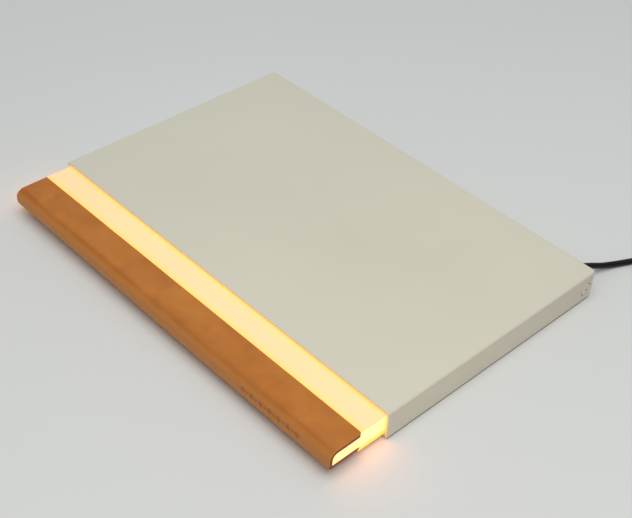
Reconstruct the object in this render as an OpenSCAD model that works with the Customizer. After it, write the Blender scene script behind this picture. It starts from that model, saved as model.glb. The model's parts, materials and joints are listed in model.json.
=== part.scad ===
// Book-shaped pull-out lamp: a flat slipcase that lies on a table, and a leather-backed light block that
// slides out of its long open side. The further the block comes out, the brighter it is: brushes on the
// block run along power and dimmer tracks under the case's top.
// Frame: +X along the leather spine, +Y from the spine to the closed back, +Z up. The origin is at the
// middle of the footprint, on the table, with the block pulled out to its usual reading position.

/* [Slipcase] */
// Length of the case along the spine
case_w = 300; // [240:1:340]
// Depth of the case from its mouth to its back
case_d = 184; // [178:1:200]
// Height of the case without its feet
case_h = 19.5; // [19:0.5:22]
// Thickness of the case's walls
wall = 1.5; // [1.2:0.1:1.8]
// Radius of the case's two upright corners at the back
corner_r = 3; // [2:0.5:4]
// Radius of the case's upper edges
edge_r = 1.4; // [0.6:0.1:1.5]
// Height of the rubber feet
foot_h = 0.8; // [0.6:0.1:1.5]

/* [Light block] */
// How far the leather stands off the case's mouth
pull_out = 19.5; // [5:1:40]
// Width of the leather on the block's top
leather_w = 23.5; // [20:1:30]
// Thickness of the leather
leather_t = 2; // [1.5:0.1:2.5]
// Thickness of the light panel
panel_h = 10.4; // [10:0.1:11]
// Gap between the panel's end and the case's side
side_gap = 2.5; // [2.2:0.1:3]
// Gap between the leather and the mouth when the block is closed
close_gap = 0.5; // [0.3:0.1:1]
// How much further the block can be pulled out
travel_out = 80; // [40:1:80]

/* [Button] */
// Radius of the push button
button_r = 4.5; // [3.5:0.1:4.6]
// Travel of the push button
button_travel = 1; // [0.5:0.1:1.2]

/* [Cord] */
// Diameter of the cord
cord_d = 4; // [3.5:0.1:5]
// Radius of the coil's outer turn, at the middle of the cord
coil_outer_r = 29; // [28:1:32]

/* [Hidden] */

$fn = 48;
eps = 0.01;

// Case
half_w = case_w / 2;
half_d = (case_d + leather_w + pull_out) / 2;
y_back = half_d;
y_mouth = y_back - case_d;
z_floor = foot_h + wall;
z_top = foot_h + case_h;
z_ceiling = z_top - wall;
inner_w = case_w / 2 - wall;
y_inner_back = y_back - wall;
flange_t = 0.7;
flange_h = 4.5;

// Light block
magnet_xs = [-120, 120];
magnet_z = 12;
magnet_r = 4;
magnet_l = 2.5;
y_spine = -half_d;
y_leather = y_spine + leather_w;
panel_half_w = half_w - side_gap;
z_panel = 6.9;
z_panel_top = z_panel + panel_h;
y_panel = y_spine + leather_t + 0.1;
panel_wall = 2;
bar_d = 6;
y_bar = y_mouth + 121;
y_block_end = y_bar + bar_d;
leather_r_top = 5.5;
leather_r_low = 4;
// The diffuser is wider than the tray, to hide the sliding gap; the cover is glued on slightly to its right
diffuser_half_w = 148.1;
leather_x = [-145.7, 149.7];
leather_corner_r = 2.4;
leather_low_t = 1.1;
tray_z = z_floor + 0.3;
tray_wall = 1.6;
close_travel = pull_out - close_gap;
glide_t = 0.2;

bar_screw_xs = [-130, -40, 40, 130];
bar_screw_z = z_panel + 3.4;
bar_screw_r = 1.2;
bar_screw_head_r = 2.2;
bar_screw_head_t = 0.7;
bar_pad_x = 110;
bar_pad_w = 40;
heat_plate_t = 1.6;
guide_half_w = 142;
guide_front = 10;
guide_rear = 6;
guide_t = 4;
z_guide = z_panel + 2.2;
reflector_t = 0.4;
led_board_half_w = 140;
led_board_t = 1;
led_board_top = 7;
led_count = 20;
led_pitch = 14;
led_w = 2.8;
led_t = 1.4;
z_led = z_panel + 2.8;

// Driver bay behind the block
bay_gap = 1;
y_bay = y_block_end + close_travel + bay_gap;
bay_wall_t = 1.5;
bay_screws = [[-145.4, 88], [145.4, 88], [-60, 106], [60, 106]];
boss_r = 2.7;
screw_r = 1.2;
screw_head_r = 2.6;

// Travel stops: pegs that run in two grooves under the tray until the rear bar meets them
stop_x = 100;
stop_w = 7;
groove_w = 8;
groove_h = 2.4;
y_stop = y_bar - travel_out - 0.4;
stop_d = 6;
y_groove = y_stop - stop_d - close_travel - 4;

// Tracks and brushes
track_xs = [58, 66, 74];
track_w = 4;
strip_t = 0.8;
track_t = 0.2;
strip_w = 28;
y_track = y_bar - travel_out - 8;
y_track_end = y_bay + 7;
brush_y = y_bar + 3;
brush_w = 3;
brush_l = 4;
brush_block_w = 24;
brush_block_h = 1.3;

// Driver board
board = [111, 19, 1.6];
board_pos = [30, 80.5, 4.2];
board_holes = [[34, 84], [34, 96], [116, 84], [116, 96]];
z_board_top = board_pos[2] + board[2];

// Button, on the right side wall near the back
button_y = y_back - 7.9;
button_z = 9.2;
button_gap = 0.2;
button_flange_r = 5.2;
button_guide_r = 6;
button_stem_r = 1.25;
button_stem_l = 4.6;
pinhole_r = 0.65;
spring_r = 3.2;
spring_wire = 0.6;
switch_l = 5;
switch_w = 6;

// Feet
feet = [[-135, -58], [0, -58], [135, -58], [-135, 98], [0, 98], [135, 98]];
foot_r = 6;
skirt_inset = 0.2;
skirt_w = 1.2;

// Cord
cord_r = cord_d / 2;
exit_x = 135;
exit_z = 10;
gland_r = 3;
gland_flange_r = 4.2;
gland_flange_t = 2;
y_sheath = 97;
y_wires = 91.2;
wire_r = 0.6;
boot_l = 8;
boot_r = [3.3, 2.5];
boot_flange_r = 4.2;
boot_flange_t = 1.2;
cord_sides = 8;
wire_xs = [exit_x - 1.25, exit_x + 1.25];
// Lead from the boot to the coil, on the table from about its seventh point
lead_route = [
    [135.2, 121.5, 9.6], [136.4, 126.5, 8.2], [137.8, 132, 6.2], [139.4, 137.5, 4.3], [141.2, 143.5, 2.9],
    [143.6, 149.5, 2.2], [146.6, 156, 2], [149.6, 162.5, 2], [152, 170, 2], [153.5, 179, 2], [154, 189, 2]
];
// Lead from the top of the coil down to the plug
tail_route = [
    [206, 184, 14], [206, 178, 13.6], [206, 171, 11.4], [206, 164, 8.2], [206, 157, 5.6],
    [206, 150, 4.3], [206, 144, 4]
];
coil_pos = [183, 190];
coil_layers = 4;
coil_low_turns = 4;
coil_inner_r = coil_outer_r - (coil_low_turns - 1) * cord_d;
tie_w = 9;
tie_t = 0.8;
plug_y = 144;
plug_relief_l = 10;
plug_body_l = 24;
plug_shell_l = 12;
plug_shell_w = 12;
plug_shell_h = 4.5;
plug_shell_t = 0.4;
plug_relief_r = [2.4, 3.4];
plug_corner_r = 2;
plug_w = 15;
plug_h = 8;

function arc(cx, cy, r, a0, a1, n = 8) =
    [for (i = [0:n]) [cx + r * cos(a0 + (a1 - a0) * i / n), cy + r * sin(a0 + (a1 - a0) * i / n)]];

// Outline in the YZ plane, square at its back and rounded at its two front corners
function d_outline(y0, y1, z0, z1, r_low, r_top) = concat(
    [[y1, z1]],
    arc(y0 + r_top, z1 - r_top, r_top, 90, 180),
    arc(y0 + r_low, z0 + r_low, r_low, 180, 270),
    [[y1, z0]]
);

// Sweep of a round tube along a route: rings square to the route, joined by quads
function unit(v) = v / norm(v);
function route_dir(p, i) =
    unit(p[min(i + 1, len(p) - 1)] - p[max(i - 1, 0)]);
function ring(c, d, r, n) =
    let (u = unit(cross(d, [0, 0, 1])), v = cross(u, d))
    [for (k = [0:n - 1]) c + r * (cos(360 * k / n) * u + sin(360 * k / n) * v)];
function tube_points(p, r, n) = [for (i = [0:len(p) - 1]) each ring(p[i], route_dir(p, i), r, n)];
function tube_faces(m, n) = concat(
    [[for (k = [0:n - 1]) k]],
    [for (i = [0:m - 2], k = [0:n - 1])
        [i * n + k, (i + 1) * n + k, (i + 1) * n + (k + 1) % n, i * n + (k + 1) % n]],
    [[for (k = [n - 1:-1:0]) (m - 1) * n + k]]
);

module tube_along(p, r, n) {
    polyhedron(points = tube_points(p, r, n), faces = tube_faces(len(p), n), convexity = 4);
}

// Prism along X of an outline drawn in the YZ plane
module along_x(length) {
    rotate([90, 0, 90]) linear_extrude(length, center = true) children();
}

module block(x0, x1, y0, y1, z0, z1) {
    translate([x0, y0, z0]) cube([x1 - x0, y1 - y0, z1 - z0]);
}

// Same box on the left and on the right
module pair(x0, x1, y0, y1, z0, z1) {
    block(x0, x1, y0, y1, z0, z1);
    block(-x1, -x0, y0, y1, z0, z1);
}

module rod_y(x, y0, y1, z, r) {
    translate([x, y0, z]) rotate([-90, 0, 0]) cylinder(r = r, h = y1 - y0);
}

module rod_x(x0, x1, y, z, r) {
    translate([x0, y, z]) rotate([0, 90, 0]) cylinder(r = r, h = x1 - x0);
}

// Upright post with a rounded top, one at each corner of the case
module case_post() {
    rotate_extrude($fn = 32)
        polygon(concat([[0, 0], [corner_r, 0]],
            arc(corner_r - edge_r, case_h - edge_r, edge_r, 0, 90, 5), [[0, case_h]]));
}

// Solid with rounded top and back corners. It runs on past the mouth, where it is cut off square
module case_body() {
    hull()
        for (x = [-1, 1], y = [y_mouth - corner_r, y_back - corner_r])
            translate([x * (half_w - corner_r), y, foot_h]) case_post();
}

module top_shell() {
    color([0.8, 0.79, 0.73]) difference() {
        union() {
            difference() {
                case_body();
                block(-half_w - 1, half_w + 1, y_mouth - 3 * corner_r, y_mouth, foot_h - 1, z_top + 1);
                block(-inner_w, inner_w, y_mouth - 1, y_inner_back, foot_h - 1, z_ceiling);
            }
            for (p = bay_screws)
                translate([p[0], p[1], z_floor + 0.05]) cylinder(r = boss_r, h = z_ceiling - z_floor);
        }
        for (p = bay_screws)
            translate([p[0], p[1], z_floor - 1]) cylinder(r = screw_r + 0.05, h = 11);
        rod_x(inner_w - 1, half_w + 1, button_y, button_z, button_r + button_gap);
        rod_y(exit_x, y_inner_back - 1, y_back + 1, exit_z, gland_r + 0.05);
    }
}

module bottom_plate() {
    side = inner_w - 0.05;
    back = y_inner_back - 0.05;
    color([0.72, 0.71, 0.66]) difference() {
        union() {
            block(-side, side, y_mouth + 0.3, back, foot_h, z_floor);
            pair(side - flange_t, side, y_mouth + 1, y_bay - 1, z_floor - eps, z_floor + flange_h);
        }
        for (p = bay_screws) {
            translate([p[0], p[1], foot_h - 1]) cylinder(r = screw_r + 0.15, h = 4);
            translate([p[0], p[1], foot_h - eps]) cylinder(r1 = screw_head_r, r2 = screw_r, h = 1.4);
        }
        for (p = feet)
            translate([p[0], p[1], foot_h - 1]) cylinder(r = 2, h = 4);
    }
}

module bay_wall() {
    color([0.7, 0.7, 0.7]) difference() {
        block(-inner_w + 0.1, inner_w - 0.1, y_bay, y_bay + bay_wall_t, z_floor, z_ceiling);
        block(track_xs[1] - strip_w / 2 - 1, track_xs[1] + strip_w / 2 + 1, y_bay - 1, y_bay + 3,
            z_ceiling - 2, z_ceiling + 1);
        for (x = magnet_xs)
            rod_y(x, y_bay - 1, y_bay + 3, magnet_z, magnet_r);
    }
}

// Six feet plugged into the base plate, and a thin skirt under each side wall
module rubber_feet() {
    color([0.15, 0.15, 0.15]) {
        for (p = feet)
            translate([p[0], p[1], 0]) {
                cylinder(r = foot_r, h = foot_h);
                cylinder(r = 2, h = z_floor);
            }
        pair(half_w - skirt_inset - skirt_w, half_w - skirt_inset, y_mouth + 1, y_back - corner_r, 0, foot_h);
    }
}

module plate_screws() {
    color([0.6, 0.6, 0.62])
        for (p = bay_screws)
            translate([p[0], p[1], foot_h]) difference() {
                union() {
                    cylinder(r1 = screw_head_r - 0.1, r2 = screw_r, h = 1.35);
                    cylinder(r = screw_r, h = 10);
                }
                translate([0, 0, -eps]) cylinder(r = 1, h = 0.8, $fn = 6);
            }
}

module mouth_felt() {
    color([0.5, 0.49, 0.45])
        block(-inner_w + 1, inner_w - 1, y_mouth + 3, y_mouth + 9, z_panel_top + 0.15, z_ceiling);
}

module side_glides() {
    color([0.85, 0.85, 0.82])
        pair(inner_w - glide_t, inner_w, y_mouth + 8, y_bay - 4, 8.5, 14);
}

module floor_glides() {
    color([0.85, 0.85, 0.82])
        for (x = [30, 70, 130])
            pair(x - 5, x + 5, y_mouth + 4, y_bay - 4, z_floor, z_floor + glide_t);
}

module travel_stops() {
    color([0.2, 0.2, 0.2])
        for (x = [-stop_x, stop_x])
            block(x - stop_w / 2, x + stop_w / 2, y_stop - stop_d, y_stop, z_floor, tray_z + groove_h - 0.6);
}

module rear_bumpers() {
    color([0.15, 0.15, 0.15])
        pair(80, 96, y_bay - bay_gap + 0.1, y_bay, 8, 14);
}

module catch_magnets() {
    color([0.65, 0.66, 0.68])
        for (x = magnet_xs)
            rod_y(x, y_bay, y_bay + bay_wall_t, magnet_z, magnet_r);
}

module track_strip() {
    color([0.12, 0.32, 0.2])
        block(track_xs[1] - strip_w / 2, track_xs[1] + strip_w / 2, y_track, y_track_end,
            z_ceiling - strip_t, z_ceiling);
}

module track(x) {
    block(x - track_w / 2, x + track_w / 2, y_track + 2, y_track_end - 1,
        z_ceiling - strip_t - track_t, z_ceiling - strip_t);
}

module power_tracks() {
    color([0.8, 0.5, 0.3]) {
        track(track_xs[0]);
        track(track_xs[1]);
    }
}

module dimmer_track() {
    color([0.1, 0.1, 0.1]) track(track_xs[2]);
}

module track_leads() {
    color([0.7, 0.2, 0.15])
        for (x = track_xs)
            translate([x, y_track_end - 3, z_board_top])
                cylinder(r = 0.5, h = z_ceiling - strip_t - track_t - z_board_top);
}

module driver_board() {
    color([0.1, 0.35, 0.2]) difference() {
        translate(board_pos) cube(board);
        for (p = board_holes)
            translate([p[0], p[1], board_pos[2] - 1]) cylinder(r = 1.3, h = 4);
    }
}

module board_standoffs() {
    color([0.75, 0.7, 0.5])
        for (p = board_holes)
            translate([p[0], p[1], z_floor]) difference() {
                cylinder(r = 2.5, h = board_pos[2] - z_floor);
                cylinder(r = 1, h = 5);
            }
}

module board_screws() {
    color([0.6, 0.6, 0.62])
        for (p = board_holes)
            translate([p[0], p[1], z_floor]) {
                cylinder(r = 0.95, h = z_board_top - z_floor);
                translate([0, 0, z_board_top - z_floor]) cylinder(r = 2, h = 1.4);
            }
}

module driver_coil() {
    color([0.7, 0.4, 0.2])
        translate([48, 90, z_board_top]) difference() {
            cylinder(r = 6, h = 6);
            translate([0, 0, -1]) cylinder(r = 2, h = 8);
        }
}

module driver_capacitors() {
    color([0.15, 0.2, 0.35])
        for (x = [82, 93, 104])
            translate([x, 92, z_board_top]) cylinder(r = 4, h = 9);
}

module driver_chips() {
    color([0.1, 0.1, 0.1]) {
        block(60, 70, 92, 98, z_board_top, z_board_top + 1.5);
        block(86, 92, 82.5, 86.5, z_board_top, z_board_top + 1.2);
        block(98, 103, 82.5, 86.5, z_board_top, z_board_top + 1.2);
    }
}

module terminal_block() {
    color([0.15, 0.4, 0.25]) difference() {
        block(127, 140, 86, 94, z_board_top, z_board_top + 8);
        for (x = wire_xs)
            translate([x, 88.5, z_board_top + 5]) cylinder(r = 1, h = 4);
        for (x = wire_xs)
            rod_y(x, y_wires - 0.2, 95, exit_z, wire_r);
    }
}

module button_guide() {
    x0 = inner_w - 4;
    color([0.2, 0.2, 0.2]) difference() {
        rod_x(x0, inner_w, button_y, button_z, button_guide_r);
        rod_x(x0 + 1, inner_w + 1, button_y, button_z, button_flange_r + 0.3);
        rod_x(x0 - 1, inner_w, button_y, button_z, button_stem_r + 0.05);
    }
}

module button_cap() {
    x0 = inner_w - 0.1;
    color([0.8, 0.79, 0.73]) difference() {
        union() {
            rod_x(x0 - 1, half_w, button_y, button_z, button_r);
            rod_x(x0 - 1, x0, button_y, button_z, button_flange_r);
            rod_x(x0 - button_stem_l, x0, button_y, button_z, button_stem_r);
        }
        rod_x(half_w - 1, half_w + 1, button_y, button_z, pinhole_r);
    }
}

module button_spring() {
    x0 = inner_w - 3;
    x1 = inner_w - 1.1;
    color([0.7, 0.7, 0.72]) difference() {
        rod_x(x0, x1, button_y, button_z, spring_r);
        rod_x(x0 - 1, x1 + 1, button_y, button_z, spring_r - spring_wire);
    }
}

module button_switch() {
    x1 = inner_w - 0.15 - button_stem_l - button_travel;
    color([0.12, 0.12, 0.12])
        block(x1 - switch_l, x1, button_y - switch_w / 2, button_y + switch_w / 2,
            button_z - switch_w / 2, button_z + switch_w / 2);
}

module cord_gland() {
    color([0.12, 0.12, 0.12]) difference() {
        union() {
            rod_y(exit_x, y_inner_back, y_back, exit_z, gland_r);
            rod_y(exit_x, y_inner_back - gland_flange_t, y_inner_back, exit_z, gland_flange_r);
        }
        rod_y(exit_x, y_inner_back - 3, y_back + 1, exit_z, cord_r);
    }
}

module inner_cord() {
    color([0.12, 0.12, 0.12]) {
        rod_y(exit_x, y_sheath, y_back, exit_z, cord_r);
        for (x = wire_xs)
            rod_y(x, y_wires, y_sheath + 0.5, exit_z, wire_r);
    }
}

module diffuser() {
    color([1, 0.93, 0.72]) difference() {
        along_x(2 * diffuser_half_w)
            polygon(d_outline(y_panel, y_bar, z_panel, z_panel_top, leather_r_low - leather_t,
                leather_r_top - leather_t));
        block(-panel_half_w + panel_wall, panel_half_w - panel_wall, y_panel + 4, y_bar + 1,
            z_panel - 1, z_panel_top - panel_wall);
    }
}

module light_guide() {
    color([0.9, 0.95, 1])
        block(-guide_half_w, guide_half_w, y_panel + guide_front, y_bar - guide_rear, z_guide, z_guide + guide_t);
}

module reflector_sheet() {
    color([0.95, 0.95, 0.95])
        block(-guide_half_w, guide_half_w, y_panel + guide_front, y_bar - guide_rear,
            z_guide - reflector_t - 0.1, z_guide - 0.1);
}

module heat_plate() {
    color([0.75, 0.76, 0.78])
        block(-panel_half_w + panel_wall + 0.1, panel_half_w - panel_wall - 0.1, y_panel + 4.1, y_bar,
            z_panel, z_panel + heat_plate_t);
}

module led_boards() {
    color([0.9, 0.9, 0.88]) {
        for (y = [y_panel + 5, y_bar - 2])
            block(-led_board_half_w, led_board_half_w, y, y + led_board_t,
                z_panel + heat_plate_t, z_panel + led_board_top);
    }
}

module leds() {
    color([1, 0.85, 0.3])
        for (i = [0:led_count - 1], y = [y_panel + 6, y_bar - 2 - led_t]) {
            x = (i - (led_count - 1) / 2) * led_pitch;
            block(x - led_w / 2, x + led_w / 2, y, y + led_t, z_led, z_led + led_w);
        }
}

module base_tray() {
    y0 = y_leather + 0.1;
    color([1, 0.88, 0.5]) difference() {
        block(-panel_half_w, panel_half_w, y0, y_bar, tray_z, z_panel - 0.05);
        block(-panel_half_w + tray_wall, panel_half_w - tray_wall, y0 + tray_wall, y_bar - tray_wall,
            tray_z + groove_h + 1, z_panel + 1);
        for (x = [-stop_x, stop_x])
            block(x - groove_w / 2, x + groove_w / 2, y_groove, y_bar + 1, tray_z - 1, tray_z + groove_h);
    }
}

module rear_bar() {
    color([0.75, 0.76, 0.78]) difference() {
        union() {
            block(-panel_half_w, panel_half_w, y_bar, y_block_end, tray_z, z_panel_top - brush_block_h);
            pair(bar_pad_x - bar_pad_w / 2, bar_pad_x + bar_pad_w / 2, y_bar, y_block_end,
                z_panel_top - brush_block_h - 0.1, z_panel_top);
        }
        for (x = bar_screw_xs)
            rod_y(x, y_bar - 1, y_block_end + 1, bar_screw_z, bar_screw_r + 0.1);
        for (x = magnet_xs)
            rod_y(x, y_block_end - magnet_l, y_block_end + 1, magnet_z, magnet_r);
    }
}

module bar_screws() {
    color([0.6, 0.6, 0.62])
        for (x = bar_screw_xs) {
            rod_y(x, y_bar + 0.2, y_block_end, bar_screw_z, bar_screw_r);
            rod_y(x, y_block_end, y_block_end + bar_screw_head_t, bar_screw_z, bar_screw_head_r);
        }
}

module block_magnets() {
    color([0.65, 0.66, 0.68])
        for (x = magnet_xs)
            rod_y(x, y_block_end - magnet_l, y_block_end, magnet_z, magnet_r);
}

module brush_block() {
    color([0.15, 0.15, 0.15])
        block(track_xs[1] - brush_block_w / 2, track_xs[1] + brush_block_w / 2, y_bar, y_block_end,
            z_panel_top - brush_block_h, z_panel_top);
}

module brushes() {
    color([0.8, 0.5, 0.3])
        for (x = track_xs)
            block(x - brush_w / 2, x + brush_w / 2, brush_y - brush_l / 2, brush_y + brush_l / 2, z_panel_top,
                z_ceiling - strip_t - track_t - 0.05);
}

module leather_outline() {
    difference() {
        polygon(d_outline(y_spine, y_leather, z_panel - leather_low_t, z_panel_top + leather_t, leather_r_low,
            leather_r_top));
        polygon(d_outline(y_spine + leather_t, y_leather + 1, z_panel, z_panel_top,
            leather_r_low - leather_t, leather_r_top - leather_t));
    }
}

// The right end of the cover has rounded corners at its inner edge
module leather_spine() {
    r = leather_corner_r;
    x1 = leather_x[1];
    length = x1 - leather_x[0];
    color([0.68, 0.45, 0.25]) intersection() {
        translate([x1 - length / 2, 0, 0]) along_x(length) leather_outline();
        union() {
            block(leather_x[0], x1 - r, y_spine - 1, y_leather + 1, 0, 30);
            block(x1 - r - eps, x1, y_spine - 1, y_leather - r, 0, 30);
            translate([x1 - r, y_leather - r, 0]) cylinder(r = r, h = 30);
        }
    }
}

module cord_boot() {
    color([0.1, 0.1, 0.1])
        translate([exit_x, y_back, exit_z]) rotate([-90, 0, 0]) difference() {
            union() {
                cylinder(r = boot_flange_r, h = boot_flange_t);
                cylinder(r1 = boot_r[0], r2 = boot_r[1], h = boot_l);
            }
            translate([0, 0, -1]) cylinder(r = cord_r, h = boot_l + 2);
        }
}

module power_cord() {
    color([0.12, 0.12, 0.12])
        tube_along(concat([[exit_x, y_back, exit_z], [exit_x, y_back + boot_l / 2, exit_z]], lead_route),
            cord_r, cord_sides);
}

// Outer shape of the wound cord: four turns on the table, then three, two and one
module coil_profile() {
    out = coil_outer_r + cord_r;
    in = coil_inner_r - cord_r;
    polygon(concat(
        [[in, 0], [out, 0]],
        [for (i = [1:coil_layers]) [out - cord_r * (i - 1), cord_d * i]],
        [for (i = [coil_layers:-1:1]) [in + cord_r * (i - 1), cord_d * i]]
    ));
}

module cord_coil() {
    color([0.12, 0.12, 0.12]) difference() {
        translate([coil_pos[0], coil_pos[1], 0]) rotate_extrude($fn = 64) coil_profile();
        tie_slab();
    }
}

module tie_slab() {
    r0 = coil_inner_r - cord_r;
    r1 = coil_outer_r + cord_r;
    block(coil_pos[0] - tie_w / 2, coil_pos[0] + tie_w / 2, coil_pos[1] + r0, coil_pos[1] + r1,
        -1, tie_t);
}

// Hook-and-loop strap round the far side of the coil
module coil_tie() {
    y_mid = coil_pos[1] + (coil_inner_r + coil_outer_r) / 2;
    half = (coil_outer_r - coil_inner_r) / 2 + cord_r;
    top = cord_d * coil_layers;
    color([0.1, 0.1, 0.1])
        translate([coil_pos[0], y_mid, 0]) rotate([90, 0, 90]) linear_extrude(tie_w, center = true)
            difference() {
                polygon([[-half - 1.2, 0], [half + 1.2, 0], [half + 1.2, cord_d], [cord_r + 1.4, top + tie_t],
                    [-cord_r - 1.4, top + tie_t], [-half - 1.2, cord_d]]);
                polygon([[-half - 0.4, tie_t], [half + 0.4, tie_t], [half + 0.4, cord_d],
                    [cord_r + 0.6, top + 0.02], [-cord_r - 0.6, top + 0.02], [-half - 0.4, cord_d]]);
            }
}

module plug_lead() {
    color([0.12, 0.12, 0.12]) tube_along(tail_route, cord_r, cord_sides);
}

module plug_body() {
    w = plug_w / 2 - plug_corner_r;
    h = plug_h / 2 - plug_corner_r;
    color([0.1, 0.1, 0.1])
        translate([tail_route[0][0], plug_y, plug_h / 2]) rotate([90, 0, 0]) {
            difference() {
                cylinder(r1 = plug_relief_r[0], r2 = plug_relief_r[1], h = plug_relief_l);
                translate([0, 0, -1]) cylinder(r = cord_r, h = 2);
            }
            translate([0, 0, plug_relief_l]) linear_extrude(plug_body_l)
                polygon(concat(
                    arc(w, h, plug_corner_r, 0, 90, 5), arc(-w, h, plug_corner_r, 90, 180, 5),
                    arc(-w, -h, plug_corner_r, 180, 270, 5), arc(w, -h, plug_corner_r, 270, 360, 5)));
        }
}

module plug_shell() {
    y0 = plug_y - plug_relief_l - plug_body_l;
    x = tail_route[0][0];
    w = plug_shell_w / 2;
    h = plug_shell_h / 2;
    color([0.75, 0.75, 0.77]) difference() {
        block(x - w, x + w, y0 - plug_shell_l, y0, plug_h / 2 - h, plug_h / 2 + h);
        block(x - w + plug_shell_t, x + w - plug_shell_t, y0 - plug_shell_l - 1, y0 - 1,
            plug_h / 2 - 0.1, plug_h / 2 + h - plug_shell_t);
    }
}

top_shell();
bottom_plate();
bay_wall();
rubber_feet();
plate_screws();
mouth_felt();
side_glides();
floor_glides();
travel_stops();
rear_bumpers();
catch_magnets();
track_strip();
power_tracks();
dimmer_track();
track_leads();
driver_board();
board_standoffs();
board_screws();
driver_coil();
driver_capacitors();
driver_chips();
terminal_block();
button_guide();
button_switch();
button_spring();
button_cap();
cord_gland();
inner_cord();
diffuser();
light_guide();
reflector_sheet();
heat_plate();
led_boards();
leds();
base_tray();
rear_bar();
bar_screws();
block_magnets();
brush_block();
brushes();
leather_spine();
cord_boot();
power_cord();
cord_coil();
coil_tie();
plug_lead();
plug_body();
plug_shell();
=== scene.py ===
"""Looks of a book-shaped pull-out lamp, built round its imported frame.

A painted slipcase, a glowing block with a leather spine, a push button and a coiled cord.
"""

import json
import math

import bmesh
import bpy
from bpy.props import FloatProperty, FloatVectorProperty, IntProperty, PointerProperty
from mathutils import Matrix, Vector, noise


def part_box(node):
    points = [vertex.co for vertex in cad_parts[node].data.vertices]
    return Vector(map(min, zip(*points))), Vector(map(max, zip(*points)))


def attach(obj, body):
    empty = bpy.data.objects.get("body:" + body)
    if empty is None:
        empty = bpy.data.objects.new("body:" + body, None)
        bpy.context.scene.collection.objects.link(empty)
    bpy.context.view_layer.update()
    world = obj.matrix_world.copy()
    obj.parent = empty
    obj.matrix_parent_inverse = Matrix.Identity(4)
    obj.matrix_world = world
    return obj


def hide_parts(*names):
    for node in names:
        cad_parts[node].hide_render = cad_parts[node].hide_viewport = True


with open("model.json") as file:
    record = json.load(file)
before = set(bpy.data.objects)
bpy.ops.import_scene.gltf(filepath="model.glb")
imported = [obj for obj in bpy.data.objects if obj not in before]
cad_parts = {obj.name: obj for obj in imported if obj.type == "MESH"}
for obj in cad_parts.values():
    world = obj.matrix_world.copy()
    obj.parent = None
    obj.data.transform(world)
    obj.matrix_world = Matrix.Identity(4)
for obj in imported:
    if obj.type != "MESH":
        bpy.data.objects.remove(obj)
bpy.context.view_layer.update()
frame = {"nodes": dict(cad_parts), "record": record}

bl_info = {
    "name": "Book lamp",
    "version": (1, 0, 0),
    "blender": (4, 5, 0),
    "location": "View3D > Sidebar > Book lamp",
    "description": "Builds a book-shaped pull-out lamp round its packed frame",
    "category": "Add Mesh",
}

MM = 0.001
CASE_LOW, CASE_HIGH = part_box("top_shell")
PLATE_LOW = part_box("bottom_plate")[0]
PANEL_LOW, PANEL_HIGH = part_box("diffuser")
TRAY_LOW, TRAY_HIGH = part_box("base_tray")
LEATHER_LOW, LEATHER_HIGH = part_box("leather_spine")
BUTTON_LOW, BUTTON_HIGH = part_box("button_cap")
BOOT_LOW, BOOT_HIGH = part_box("cord_boot")
TIE_LOW, TIE_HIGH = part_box("coil_tie")
PLUG_LOW, PLUG_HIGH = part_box("plug_body")
SHELL_LOW, SHELL_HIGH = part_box("plug_shell")


# ---------------------------------------------------------------- settings


class CaseSettings(bpy.types.PropertyGroup):
    """Painted slipcase"""

    wall: FloatProperty(
        name="Wall", description="Thickness of the case's walls", default=1.5 * MM, unit="LENGTH"
    )
    edge_radius: FloatProperty(
        name="Edge radius", description="Radius of the upper edges", default=1.4 * MM, unit="LENGTH"
    )
    corner_radius: FloatProperty(
        name="Corner radius", description="Radius of the two back corners", default=3 * MM, unit="LENGTH"
    )
    paint: FloatVectorProperty(
        name="Paint", description="Colour of the case", subtype="COLOR", size=3, min=0, max=1,
        default=(0.735, 0.735, 0.625),
    )


class BlockSettings(bpy.types.PropertyGroup):
    """Glowing block"""

    panel_glow: FloatVectorProperty(
        name="Panel glow", description="Colour of the light from the panel's top", subtype="COLOR", size=3,
        min=0, max=1, default=(1.0, 0.36, 0.075),
    )
    panel_strength: FloatProperty(
        name="Panel strength", description="Brightness of the panel's top", default=1.5, min=0
    )
    end_glow: FloatVectorProperty(
        name="End glow", description="Colour of the light from the panel's ends", subtype="COLOR", size=3,
        min=0, max=1, default=(1.0, 0.34, 0.1),
    )
    end_strength: FloatProperty(
        name="End strength", description="Brightness of the panel's ends", default=2.45, min=0
    )
    tray_glow: FloatVectorProperty(
        name="Tray glow", description="Colour of the light from the lower tray", subtype="COLOR", size=3,
        min=0, max=1, default=(1.0, 0.31, 0.05),
    )
    tray_strength: FloatProperty(
        name="Tray strength", description="Brightness of the lower tray", default=2.3, min=0
    )


class LeatherSettings(bpy.types.PropertyGroup):
    """Leather spine"""

    thickness: FloatProperty(
        name="Thickness", description="Thickness of the leather", default=1.95 * MM, unit="LENGTH"
    )
    tan: FloatVectorProperty(
        name="Tan", description="Main colour of the leather", subtype="COLOR", size=3, min=0, max=1,
        default=(0.57, 0.212, 0.036),
    )
    burnished: FloatVectorProperty(
        name="Burnished", description="Colour of the cut edges", subtype="COLOR", size=3, min=0, max=1,
        default=(0.13, 0.035, 0.018),
    )
    tooling_depth: FloatProperty(
        name="Tooling depth", description="Depth of the pressed row on the spine", default=0.4 * MM,
        unit="LENGTH",
    )


class CordSettings(bpy.types.PropertyGroup):
    """Free cord"""

    diameter: FloatProperty(
        name="Diameter", description="Thickness of the cord", default=4 * MM, unit="LENGTH"
    )
    points_per_turn: IntProperty(
        name="Points per turn", description="Points in each turn of the coil", default=24, min=12
    )


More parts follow.
